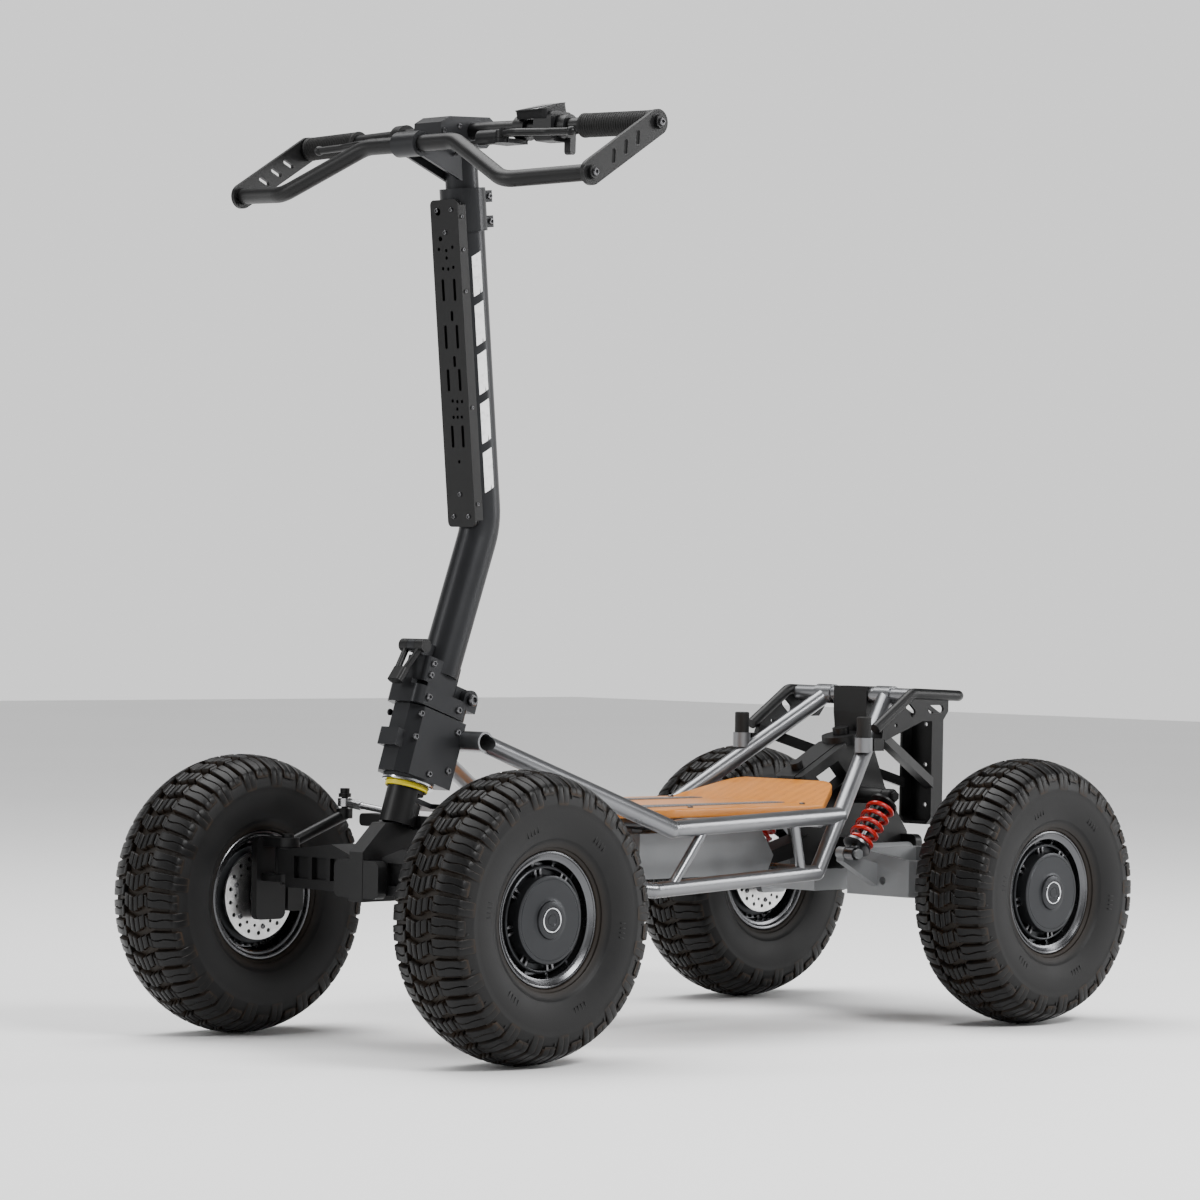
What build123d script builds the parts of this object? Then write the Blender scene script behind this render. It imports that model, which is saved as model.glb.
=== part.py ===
"""Four-wheel off-road stand-up electric scooter: one STEP file per sub-part.

Millimetres. X points forward, Y to the rider's left, Z up. The origin lies on the ground, midway
between the four wheels.
"""

from build123d import *
import math
import os

os.makedirs("parts", exist_ok=True)

# ---- driving dimensions: wheels -------------------------------------------------------------
wheelbase = 1014.0
track = 550.0
tyre_radius = 190.5
tyre_half_width = 64.0
shoulder_radius = 172.0
shoulder_half_width = 60.0
tyre_wall = 10.0
bead_radius = 76.0
flange_radius = 88.0
rim_half_width = 46.0
flange_thickness = 4.0
drum_radius = 66.0
drum_outboard = 44.0
drum_inboard = 30.0
cover_radius = 56.5
cover_thickness = 9.0
axle_radius = 10.0
running_gap = 0.05
seat_gap = 0.3
disc_radius = 61.0
disc_thickness = 3.0
disc_offset = 38.5

# ---- driving dimensions: suspension ---------------------------------------------------------
arm_hinge_y = 28.0
barrel_radius = 12.0
pin_radius = 5.0
front_hinge_z = 226.0
rear_hinge_z = 236.0
kingpin_y = 178.0
kingpin_radius = 8.0
shock_wire = 3.2
spring_radius = 17.5
spring_turns = 4.5
perch_radius = 21.0
eye_radius = 10.5
eye_width = 15.0
foot_gap = 2.8
foot_play = 1.6
top_gap = 1.0
shock_stud = 5.0
front_shock_top = Vector(413, 85, 287)
front_shock_foot = Vector(361, 85, front_hinge_z)
rear_shock_top = Vector(-409, 100, 321)
rear_shock_foot = Vector(-330, 100, 240)

# ---- driving dimensions: frame --------------------------------------------------------------
rail_y = 165.0
rail_radius = 12.0
lower_rail_radius = 11.0
brace_radius = 7.0
front_rail_end = Vector(115, rail_y, 289)
rear_rail_end = Vector(-228, rail_y, 300)
cross_tube_x = 375.0
cross_tube_z = 407.0
cross_tube_radius = 14.0
cross_tube_half = 66.0
rear_cross_x = -448.0
rear_cross_z = 465.0
rear_cross_half = 112.5
sleeve_radius = 14.5
deck_beam_x = 90.0
deck_thickness = 13.0
deck_half_width = 149.0
deck_base_z = 302.0
deck_beam_radius = 9.0
deck_beam_z = deck_base_z - deck_beam_radius - seat_gap
rear_beam_x = -190.0
deck_tail_lift = 29.0

# ---- driving dimensions: steering and stem --------------------------------------------------
rake = 18.0
head_x = 424.0
head_z = 446.0
shaft_radius = 13.0
pitman_reach = 52.0
tie_ball_y = 161.0
tie_ball_x = 420.0
tie_ball_z = 318.0
stem_radius = 27.0
stem_wall = 4.5
stem_bend_x = 326.0
stem_bend_z = 700.0
stem_bend_radius = 110.0
stem_top_x = 372.0
stem_top_z = 1150.0
bar_radius = 11.1
bar_x = 378.0
bar_z = 1225.0
bar_sweep = 30.0
bar_half = 335.0
grip_radius = 16.5
grip_length = 118.0
guard_x = 469.0
guard_z = 1202.0
guard_drop = 54.0

half_base = wheelbase / 2
half_track = track / 2
UP = Vector(0, 0, 1)


def save(part, name):
    part.label = name
    export_step(part, f"parts/{name}.step")


def at_side(point, side):
    return Vector(point.X, point.Y * side, point.Z)


def line_plane(start, end):
    return Plane(origin=start, z_dir=(end - start).normalized())


corners = {
    "front_left": (half_base, 1),
    "front_right": (half_base, -1),
    "rear_left": (-half_base, 1),
    "rear_right": (-half_base, -1),
}

# ---- wheels ---------------------------------------------------------------------------------
for corner, (wheel_x, side) in corners.items():
    wheel_centre = Vector(wheel_x, side * half_track, tyre_radius)
    # Local x runs outboard along the axle and local y is the radius.
    section = Plane(origin=wheel_centre, x_dir=(0, side, 0), z_dir=(side, 0, 0))
    spin = Axis(wheel_centre, (0, 1, 0))
    seat = rim_half_width - flange_thickness

    with BuildPart() as tyre:
        with BuildSketch(section):
            with BuildLine():
                lip = seat - seat_gap
                over = flange_radius + seat_gap
                Polyline((-lip + 11, bead_radius), (-lip, bead_radius), (-lip, over), (-rim_half_width, over))
                ThreePointArc(
                    (-rim_half_width, over),
                    (-tyre_half_width, 132),
                    (-shoulder_half_width, shoulder_radius),
                )
                ThreePointArc(
                    (-shoulder_half_width, shoulder_radius),
                    (0, tyre_radius),
                    (shoulder_half_width, shoulder_radius),
                )
                ThreePointArc(
                    (shoulder_half_width, shoulder_radius),
                    (tyre_half_width, 132),
                    (rim_half_width, over),
                )
                Polyline((rim_half_width, over), (lip, over), (lip, bead_radius), (lip - 11, bead_radius))
                Line((lip - 11, bead_radius), (lip - 9, over + 2))
                ThreePointArc(
                    (lip - 9, over + 2),
                    (tyre_half_width - tyre_wall, 132),
                    (shoulder_half_width - tyre_wall, shoulder_radius - tyre_wall),
                )
                ThreePointArc(
                    (shoulder_half_width - tyre_wall, shoulder_radius - tyre_wall),
                    (0, tyre_radius - 1.2 * tyre_wall),
                    (-shoulder_half_width + tyre_wall, shoulder_radius - tyre_wall),
                )
                ThreePointArc(
                    (-shoulder_half_width + tyre_wall, shoulder_radius - tyre_wall),
                    (-tyre_half_width + tyre_wall, 132),
                    (-lip + 9, over + 2),
                )
                Line((-lip + 9, over + 2), (-lip + 11, bead_radius))
            make_face()
        revolve(axis=spin)
    save(tyre.part, f"tyre_{corner}")

    bore = axle_radius + running_gap
    with BuildPart() as hub:
        with BuildSketch(section):
            with BuildLine():
                Polyline(
                    (-drum_inboard, bore),
                    (-drum_inboard, drum_radius),
                    (-drum_inboard + 8, bead_radius - 4),
                    (-rim_half_width, bead_radius - 4),
                    (-rim_half_width, flange_radius),
                    (-seat, flange_radius),
                    (-seat, bead_radius),
                    (seat, bead_radius),
                    (seat, flange_radius),
                    (rim_half_width, flange_radius),
                    (rim_half_width, bead_radius - 3),
                    (drum_inboard, bead_radius - 4),
                    (drum_inboard, drum_radius),
                    (drum_outboard, drum_radius - 1),
                    (drum_outboard, cover_radius + seat_gap),
                    (drum_outboard - 4, cover_radius + seat_gap),
                    (drum_outboard - 4, bore),
                    close=True,
                )
            make_face()
        revolve(axis=spin)
        # The spigot that carries the brake disc.
        disc_face = disc_offset - disc_thickness / 2
        with BuildSketch(Plane(origin=wheel_centre - Vector(0, side * drum_inboard, 0), z_dir=(0, -side, 0))):
            Circle(27)
            Circle(bore, mode=Mode.SUBTRACT)
        extrude(amount=disc_face - drum_inboard)
        # The outboard motor cover, a separate casting with a stepped centre boss.
        cover_base = wheel_centre + Vector(0, side * (drum_outboard - 4), 0)
        with BuildSketch(Plane(origin=cover_base, z_dir=(0, side, 0))):
            Circle(cover_radius)
        extrude(amount=cover_thickness)
        with BuildSketch(Plane(origin=cover_base, z_dir=(0, side, 0))):
            Circle(22.5)
        extrude(amount=14.5)
        chamfer(hub.edges().filter_by(GeomType.CIRCLE).group_by(Axis.Y)[-1 if side > 0 else 0], 1.2)
        with BuildSketch(Plane(origin=cover_base, z_dir=(0, side, 0))):
            with PolarLocations(cover_radius - 8, 6):
                Circle(2.6)
        extrude(amount=cover_thickness + 1.5)
    save(hub.part, f"hub_motor_{corner}")

    with BuildPart() as disc:
        disc_centre = wheel_centre - Vector(0, side * disc_offset, 0)
        with BuildSketch(Plane(origin=disc_centre, z_dir=(0, side, 0))):
            Circle(disc_radius)
            Circle(bore + 0.3, mode=Mode.SUBTRACT)
            with PolarLocations(52, 18):
                Circle(3, mode=Mode.SUBTRACT)
            with PolarLocations(42, 18, start_angle=10):
                Circle(2.4, mode=Mode.SUBTRACT)
        extrude(amount=disc_thickness / 2, both=True)
    save(disc.part, f"brake_disc_{corner}")

# ---- brake calipers -------------------------------------------------------------------------
plate_inner = 53.0
plate_thickness = 11.0
for corner, (wheel_x, side) in corners.items():
    inward = -math.copysign(1, wheel_x)
    caliper_centre = Vector(wheel_x, side * (half_track - disc_offset), tyre_radius)
    with BuildPart() as caliper:
        with BuildSketch(Plane(origin=caliper_centre, x_dir=(1, 0, 0), z_dir=(0, side, 0))):
            with Locations((inward * 55, 0)):
                Rectangle(28, 46)
        extrude(amount=6.5)
        with BuildSketch(Plane(origin=caliper_centre, x_dir=(1, 0, 0), z_dir=(0, -side, 0))):
            with Locations((inward * 55, 0)):
                Rectangle(28, 46)
        extrude(amount=plate_inner - disc_offset - seat_gap)
        fillet(caliper.edges().filter_by(Axis.Y), 4)
        # The slot that the disc runs in.
        with BuildSketch(Plane(origin=caliper_centre, z_dir=(0, side, 0))):
            Circle(disc_radius + 1)
        extrude(amount=disc_thickness / 2 + 0.6, both=True, mode=Mode.SUBTRACT)
    save(caliper.part, f"brake_caliper_{corner}")

# ---- steering knuckles ----------------------------------------------------------------------
boss_low = 222.0
boss_high = 258.0
plate_y = half_track - plate_inner - plate_thickness
for hand, side in (("left", 1), ("right", -1)):
    wheel_centre = Vector(half_base, side * half_track, tyre_radius)
    king = Vector(half_base, side * kingpin_y, boss_high)
    with BuildPart() as knuckle:
        with BuildSketch(Plane(origin=(half_base, side * plate_y, 0), x_dir=(1, 0, 0), z_dir=(0, -1, 0))):
            with Locations((0, (tyre_radius - 32 + boss_high + 13) / 2)):
                Rectangle(52, boss_high + 13 - tyre_radius + 32)
        extrude(amount=-side * plate_thickness)
        fillet(knuckle.edges().filter_by(Axis.Y), 9)
        for base, height in ((boss_high + 0.6, 12.4), (boss_low - 0.6 - 10, 10)):
            with BuildSketch(Plane.XY.offset(base)):
                with Locations((half_base, side * kingpin_y)):
                    Circle(16)
                with Locations((half_base, side * (kingpin_y + plate_y + 4) / 2)):
                    Rectangle(32, plate_y + 4 - kingpin_y)
            extrude(amount=height)
        with BuildSketch(Plane.XY.offset(boss_low - 14)):
            with Locations((half_base, side * kingpin_y)):
                Circle(kingpin_radius)
        extrude(amount=boss_high + 18 - boss_low + 14)
        # The stub axle.
        with BuildSketch(Plane(origin=wheel_centre - Vector(0, side * plate_inner, 0), z_dir=(0, side, 0))):
            Circle(axle_radius)
        extrude(amount=plate_inner + drum_outboard - 5)
        with BuildSketch(Plane(origin=wheel_centre - Vector(0, side * plate_inner, 0), z_dir=(0, side, 0))):
            Circle(18)
        extrude(amount=plate_inner - disc_offset - disc_thickness)
        # The steering arm, its ball stud, bush and nut.
        arm_start = Vector(half_base - 8, side * (kingpin_y - 2), boss_high + 8)
        arm_end = Vector(tie_ball_x, side * tie_ball_y, tie_ball_z - 17)
        with BuildSketch(line_plane(arm_start, arm_end)):
            Circle(8)
        extrude(amount=(arm_end - arm_start).length)
        for base, height, radius in (
            (tie_ball_z - 22, 13.5, 11),
            (tie_ball_z - 9, 18, 4.5),
            (tie_ball_z + 7, 5, 8.5),
            (tie_ball_z + 12, 7, 6.5),
        ):
            with BuildSketch(Plane.XY.offset(base)):
                with Locations((tie_ball_x, side * tie_ball_y)):
                    Circle(radius)
            extrude(amount=height)
    save(knuckle.part, f"steering_knuckle_{hand}")

# ---- tie rods -------------------------------------------------------------------------------
cos_rake = math.cos(math.radians(rake))
sin_rake = math.sin(math.radians(rake))
head = Vector(head_x, 0, head_z)
head_forward = Vector(cos_rake, 0, sin_rake)
head_up = Vector(-sin_rake, 0, cos_rake)


def head_plane(height):
    """The plane across the steering axis, at a height along it from the top of the head."""
    return Plane(origin=head + head_up * height, x_dir=head_forward, z_dir=head_up)


pitman_height = -122.0
pitman_half_span = 27.0
ball_radius = 8.0
inner_ball = head + head_up * (pitman_height - ball_radius - 2.5) - head_forward * pitman_reach
for hand, side in (("left", 1), ("right", -1)):
    outer = Vector(tie_ball_x, side * tie_ball_y, tie_ball_z)
    inner = Vector(inner_ball.X, side * pitman_half_span, inner_ball.Z)
    along = (inner - outer).normalized()
    with BuildPart() as tie_rod:
        with BuildSketch(Plane.XY.offset(tie_ball_z - 5.5)):
            with Locations((outer.X, outer.Y)):
                Circle(9.5)
        extrude(amount=11)
        with BuildSketch(line_plane(outer, inner)):
            Circle(4.5)
        extrude(amount=(inner - outer).length)
        for start, length in ((7, 26), ((inner - outer).length - 30, 26)):
            with BuildSketch(Plane(origin=outer + along * start, z_dir=along)):
                RegularPolygon(6.5, 6)
            extrude(amount=length)
        with Locations(inner):
            Sphere(ball_radius)
        with BuildSketch(Plane.XY.offset(tie_ball_z - 6.5)):
            with Locations((outer.X, outer.Y)):
                Circle(4.5 + seat_gap)
        extrude(amount=13, mode=Mode.SUBTRACT)
    save(tie_rod.part, f"tie_rod_{hand}")

# ---- suspension arms ------------------------------------------------------------------------
barrel_bore = pin_radius + running_gap
for hand, side in (("left", 1), ("right", -1)):
    hinge = Vector(0, side * arm_hinge_y, front_hinge_z)
    foot = at_side(front_shock_foot, side)
    rear_edge = foot.X - 17
    front_edge = half_base + 21
    floor_z = front_hinge_z - 20
    with BuildPart() as front_arm:
        with BuildSketch(Plane.XY.offset(floor_z)):
            with BuildLine():
                Polyline(
                    (rear_edge, side * (arm_hinge_y + 2)),
                    (rear_edge, side * (foot.Y * side + 22)),
                    (rear_edge + 34, side * (foot.Y * side + 22)),
                    (half_base - 30, side * (kingpin_y - 19)),
                    (front_edge, side * (kingpin_y - 19)),
                    (front_edge, side * (arm_hinge_y + 2)),
                    close=True,
                )
            make_face()
            with Locations(((rear_edge + 40 + front_edge - 50) / 2, side * (arm_hinge_y + 50))):
                Rectangle(front_edge - rear_edge - 96, 54, mode=Mode.SUBTRACT)
        extrude(amount=8)
        # The front beam, tapering towards the kingpin.
        with BuildSketch(Plane(origin=(half_base, 0, 0), z_dir=(side, 0, 0), x_dir=(0, side, 0))):
            with BuildLine():
                Polyline(
                    (arm_hinge_y + 4, floor_z),
                    (kingpin_y - 19, floor_z + 4),
                    (kingpin_y - 19, boss_low + 1),
                    (kingpin_y - 6, boss_low + 1),
                    (kingpin_y - 6, boss_high - 1),
                    (kingpin_y - 19, boss_high - 1),
                    (arm_hinge_y + 40, floor_z + 62),
                    (arm_hinge_y + 4, floor_z + 50),
                    close=True,
                )
            make_face()
        extrude(amount=21, both=True)
        # Ribs let into the beam's front face.
        with BuildSketch(Plane(origin=(front_edge, 0, 0), z_dir=(1, 0, 0), x_dir=(0, 1, 0))):
            for rib_start in (42, 78, 114):
                with Locations((side * (rib_start + 14), floor_z + 28)):
                    Rectangle(28, 30)
        extrude(amount=-7, mode=Mode.SUBTRACT)
        with BuildSketch(Plane.XY.offset(boss_low)):
            with Locations((half_base, side * kingpin_y)):
                Circle(17)
        extrude(amount=boss_high - boss_low)
        with BuildSketch(Plane(origin=(rear_edge, hinge.Y, hinge.Z), z_dir=(1, 0, 0))):
            Circle(barrel_radius)
        extrude(amount=front_edge - rear_edge)
        with BuildSketch(Plane(origin=(rear_edge + 9, 0, 0), z_dir=(1, 0, 0), x_dir=(0, 1, 0))):
            with Locations((side * (arm_hinge_y + 6), floor_z + 6)):
                Rectangle(12, 12)
        extrude(amount=front_edge - rear_edge - 20)
        # The ear and stud under the shock's foot.
        ear_y = foot.Y - side * (eye_width / 2 + foot_gap)
        with BuildSketch(Plane(origin=(0, ear_y, 0), x_dir=(1, 0, 0), z_dir=(0, -1, 0))):
            with Locations((foot.X, foot.Z)):
                Circle(9)
            with Locations((foot.X, (foot.Z + floor_z) / 2)):
                Rectangle(18, foot.Z - floor_z)
        extrude(amount=8 * side)
        with BuildSketch(Plane(origin=(foot.X, ear_y, foot.Z), z_dir=(0, side, 0))):
            Circle(shock_stud)
        extrude(amount=eye_width + 2 * foot_gap + 2)
        with BuildSketch(Plane(origin=(foot.X, foot.Y + side * (eye_width / 2 + foot_gap), foot.Z), z_dir=(0, side, 0))):
            RegularPolygon(7.5, 6)
        extrude(amount=5)
        with BuildSketch(Plane.XY.offset(boss_low - 2)):
            with Locations((half_base, side * kingpin_y)):
                Circle(kingpin_radius + running_gap)
        extrude(amount=boss_high - boss_low + 4, mode=Mode.SUBTRACT)
        with BuildSketch(Plane(origin=(rear_edge - 2, hinge.Y, hinge.Z), z_dir=(1, 0, 0))):
            Circle(barrel_bore)
        extrude(amount=front_edge - rear_edge + 4, mode=Mode.SUBTRACT)
    save(front_arm.part, f"front_arm_{hand}")

for hand, side in (("left", 1), ("right", -1)):
    foot = at_side(rear_shock_foot, side)
    rear_edge = -half_base - 30
    front_edge = -398.0
    arm_floor = tyre_radius - 14
    wheel_centre = Vector(-half_base, side * half_track, tyre_radius)
    with BuildPart() as rear_arm:
        with BuildSketch(Plane.XY.offset(arm_floor)):
            with BuildLine():
                Polyline(
                    (rear_edge, side * (arm_hinge_y + 4)),
                    (rear_edge, side * (plate_y + 1)),
                    (-half_base + 30, side * (plate_y + 1)),
                    (front_edge, side * 150),
                    (front_edge, side * (arm_hinge_y + 4)),
                    close=True,
                )
            make_face()
        extrude(amount=66)
        # Slope the top down towards the wheel and open it into a ribbed tray.
        with BuildSketch(Plane(origin=(rear_edge - 5, 0, 0), x_dir=(0, 1, 0), z_dir=(1, 0, 0))):
            with BuildLine():
                Polyline(
                    (side * 30, arm_floor + 72),
                    (side * 60, arm_floor + 66),
                    (side * (plate_y + 5), arm_floor + 44),
                    (side * (plate_y + 5), arm_floor + 72),
                    close=True,
                )
            make_face()
        extrude(amount=front_edge - rear_edge + 10, mode=Mode.SUBTRACT)
        with BuildSketch(Plane.XY.offset(arm_floor + 8)):
            with BuildLine():
                Polyline(
                    (rear_edge + 9, side * 52),
                    (rear_edge + 9, side * (plate_y - 22)),
                    (-half_base + 20, side * (plate_y - 22)),
                    (front_edge - 9, side * 142),
                    (front_edge - 9, side * 52),
                    close=True,
                )
            make_face()
        extrude(amount=70, mode=Mode.SUBTRACT)
        with BuildSketch(Plane(origin=(rear_edge, side * arm_hinge_y, rear_hinge_z), z_dir=(1, 0, 0))):
            Circle(barrel_radius)
        extrude(amount=front_edge - rear_edge)
        # The hub plate and stub axle.
        with BuildSketch(Plane(origin=wheel_centre - Vector(0, side * (plate_inner + plate_thickness), 0), z_dir=(0, side, 0))):
            RectangleRounded(60, 56, 9)
        extrude(amount=plate_thickness)
        with BuildSketch(Plane(origin=wheel_centre - Vector(0, side * plate_inner, 0), z_dir=(0, side, 0))):
            Circle(18)
        extrude(amount=plate_inner - disc_offset - disc_thickness)
        with BuildSketch(Plane(origin=wheel_centre - Vector(0, side * plate_inner, 0), z_dir=(0, side, 0))):
            Circle(axle_radius)
        extrude(amount=plate_inner + drum_outboard - 5)
        # The outrigger that reaches forward to the shock's foot.
        ear_y = foot.Y - side * (eye_width / 2 + foot_gap)
        with BuildSketch(Plane(origin=(0, ear_y, 0), x_dir=(1, 0, 0), z_dir=(0, -1, 0))):
            with BuildLine():
                Polyline(
                    (front_edge - 4, arm_floor + 12),
                    (foot.X + 6, foot.Z - 12),
                    (foot.X + 6, foot.Z),
                    (foot.X - 6, foot.Z - 2),
                    (front_edge - 4, arm_floor + 46),
                    close=True,
                )
            make_face()
            with Locations((foot.X, foot.Z)):
                Circle(9)
        extrude(amount=14 * side)
        with BuildSketch(Plane(origin=(foot.X, ear_y, foot.Z), z_dir=(0, side, 0))):
            Circle(shock_stud)
        extrude(amount=eye_width + 2 * foot_gap + 2)
        with BuildSketch(Plane(origin=(foot.X, foot.Y + side * (eye_width / 2 + foot_gap), foot.Z), z_dir=(0, side, 0))):
            RegularPolygon(7.5, 6)
        extrude(amount=5)
        with BuildSketch(Plane(origin=(rear_edge - 2, side * arm_hinge_y, rear_hinge_z), z_dir=(1, 0, 0))):
            Circle(barrel_bore)
        extrude(amount=front_edge - rear_edge + 4, mode=Mode.SUBTRACT)
        # The open hole in the arm's front wall.
        with BuildSketch(Plane(origin=(front_edge + 1, side * 100, arm_floor + 22), z_dir=(-1, 0, 0))):
            Circle(6)
        extrude(amount=14, mode=Mode.SUBTRACT)
    save(rear_arm.part, f"rear_arm_{hand}")

# ---- shocks ---------------------------------------------------------------------------------
tube_radius = 8.0
rod_radius = 4.5
upper_perch = 18.0
lower_perch = 17.0
perch_thickness = 3.5
for corner, (wheel_x, side) in corners.items():
    top = at_side(front_shock_top if wheel_x > 0 else rear_shock_top, side)
    foot = at_side(front_shock_foot if wheel_x > 0 else rear_shock_foot, side)
    down = (foot - top).normalized()
    length = (foot - top).length
    with BuildPart() as shock_body:
        with BuildSketch(Plane(origin=top - Vector(0, eye_width / 2, 0), z_dir=(0, 1, 0))):
            Circle(eye_radius)
        extrude(amount=eye_width)
        with BuildSketch(Plane(origin=top + down * 6, z_dir=down)):
            Circle(tube_radius)
        extrude(amount=length * 0.62 - 6)
        with BuildSketch(Plane(origin=top + down * (upper_perch - perch_thickness), z_dir=down)):
            Circle(perch_radius)
        extrude(amount=perch_thickness)
        with BuildSketch(Plane(origin=top - Vector(0, eye_width / 2 + 1, 0), z_dir=(0, 1, 0))):
            Circle(shock_stud + running_gap)
        extrude(amount=eye_width + 2, mode=Mode.SUBTRACT)
        with BuildSketch(Plane(origin=top + down * 13, z_dir=down)):
            Circle(rod_radius + running_gap)
        extrude(amount=length, mode=Mode.SUBTRACT)
    save(shock_body.part, f"shock_body_{corner}")

    with BuildPart() as shock_rod:
        with BuildSketch(Plane(origin=foot - Vector(0, eye_width / 2, 0), z_dir=(0, 1, 0))):
            Circle(eye_radius - 1)
        extrude(amount=eye_width)
        with BuildSketch(Plane(origin=foot - down * 6, z_dir=-down)):
            Circle(tube_radius)
        extrude(amount=lower_perch - 6)
        with BuildSketch(Plane(origin=foot - down * (lower_perch - perch_thickness), z_dir=-down)):
            Circle(perch_radius)
        extrude(amount=perch_thickness)
        with BuildSketch(Plane(origin=foot - down * 10, z_dir=-down)):
            Circle(rod_radius)
        extrude(amount=length - 10 - 26)
        with BuildSketch(Plane(origin=foot - Vector(0, eye_width / 2 + 1, 0), z_dir=(0, 1, 0))):
            Circle(shock_stud + foot_play)
        extrude(amount=eye_width + 2, mode=Mode.SUBTRACT)
    save(shock_rod.part, f"shock_rod_{corner}")

    coil_height = length - upper_perch - lower_perch - 2 * shock_wire - 0.8
    coil_start = foot - down * (lower_perch + shock_wire + 0.4)
    with BuildPart() as spring:
        with BuildLine() as coil:
            Helix(coil_height / spring_turns, coil_height, spring_radius, center=coil_start, direction=-down)
        with BuildSketch(Plane(origin=coil.line @ 0, z_dir=coil.line % 0)):
            Circle(shock_wire)
        sweep(path=coil.line, is_frenet=True)
    save(spring.part, f"shock_spring_{corner}")

# ---- main frame -----------------------------------------------------------------------------
frame_tubes = []
for side in (1, -1):
    cross_end = Vector(cross_tube_x, side * 57, cross_tube_z)
    rail_front = at_side(front_rail_end, side)
    rail_rear = at_side(rear_rail_end, side)
    rear_top = Vector(rear_cross_x, side * 57, rear_cross_z)
    sill_front = Vector(147, side * rail_y, 207)
    sill_rear = Vector(-182, side * rail_y, 221)
    sill_nose = Vector(322, side * 42, 222)
    frame_tubes += [
        (cross_end, rail_front, rail_radius + 0.5),
        (rail_front, rail_rear, rail_radius),
        (rail_rear, rear_top, rail_radius),
        (sill_front, sill_rear, lower_rail_radius),
        (sill_rear, rail_rear, lower_rail_radius),
        (sill_front, sill_nose, lower_rail_radius),
        (Vector(50, side * rail_y, 287), Vector(116, side * rail_y, 209), brace_radius),
        (Vector(-132, side * rail_y, 297), Vector(-150, side * rail_y, 220), brace_radius),
    ]
frame_tubes += [
    (
        Vector(cross_tube_x, -cross_tube_half, cross_tube_z),
        Vector(cross_tube_x, cross_tube_half, cross_tube_z),
        cross_tube_radius,
    ),
    (
        Vector(rear_cross_x, -rear_cross_half, rear_cross_z),
        Vector(rear_cross_x, rear_cross_half, rear_cross_z),
        rail_radius,
    ),
    (
        Vector(deck_beam_x, -rail_y, deck_beam_z),
        Vector(deck_beam_x, rail_y, deck_beam_z),
        deck_beam_radius,
    ),
    (
        Vector(rear_beam_x, 2 - rail_y, deck_beam_z),
        Vector(rear_beam_x, rail_y - 2, deck_beam_z),
        deck_beam_radius,
    ),
    (Vector(147, -rail_y, 207), Vector(147, rail_y, 207), 9),
    (Vector(-182, -rail_y, 221), Vector(-182, rail_y, 221), 9),
]
post_x = -330.0
post_y = 119.0
post_base_z = 386.0
post_top_z = 407.0
bore_clearance = 20.0
with BuildPart() as main_frame:
    for start, end, radius in frame_tubes:
        with BuildSketch(line_plane(start, end)):
            Circle(radius)
        extrude(amount=(end - start).length)
    for side in (1, -1):
        for joint, radius in (
            (at_side(front_rail_end, side), rail_radius + 0.5),
            (at_side(rear_rail_end, side), rail_radius),
            (Vector(147, side * rail_y, 207), lower_rail_radius),
            (Vector(-182, side * rail_y, 221), lower_rail_radius),
        ):
            with Locations(joint):
                Sphere(radius)
        # The sleeve that each rear tube is welded to, and the socket of each post cap.
        with BuildSketch(Plane(origin=(rear_cross_x, side * 42, rear_cross_z), z_dir=(0, side, 0))):
            Circle(sleeve_radius)
        extrude(amount=31)
        with BuildSketch(Plane.XY.offset(post_base_z)):
            with Locations((post_x, side * post_y)):
                Circle(13)
        extrude(amount=post_top_z - post_base_z)
        # The foot that the front carrier bolts to.
        with BuildSketch(Plane(origin=(326, side * 34, 222), z_dir=(1, 0, 0))):
            Rectangle(26, 30)
        extrude(amount=-10)
    # The open bore, right through the front cross tube.
    bore_start = Vector(cross_tube_x, -cross_tube_half - bore_clearance, cross_tube_z)
    with BuildSketch(Plane(origin=bore_start, z_dir=(0, 1, 0))):
        Circle(cross_tube_radius - 3)
    extrude(amount=2 * (cross_tube_half + bore_clearance), mode=Mode.SUBTRACT)
save(main_frame.part, "main_frame")

with BuildPart() as post_caps:
    for side in (1, -1):
        with BuildSketch(Plane.XY.offset(post_top_z)):
            with Locations((post_x, side * post_y)):
                Circle(10.5)
        extrude(amount=30)
    fillet(post_caps.edges().group_by(Axis.Z)[-1], 2)
save(post_caps.part, "post_caps")

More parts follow.
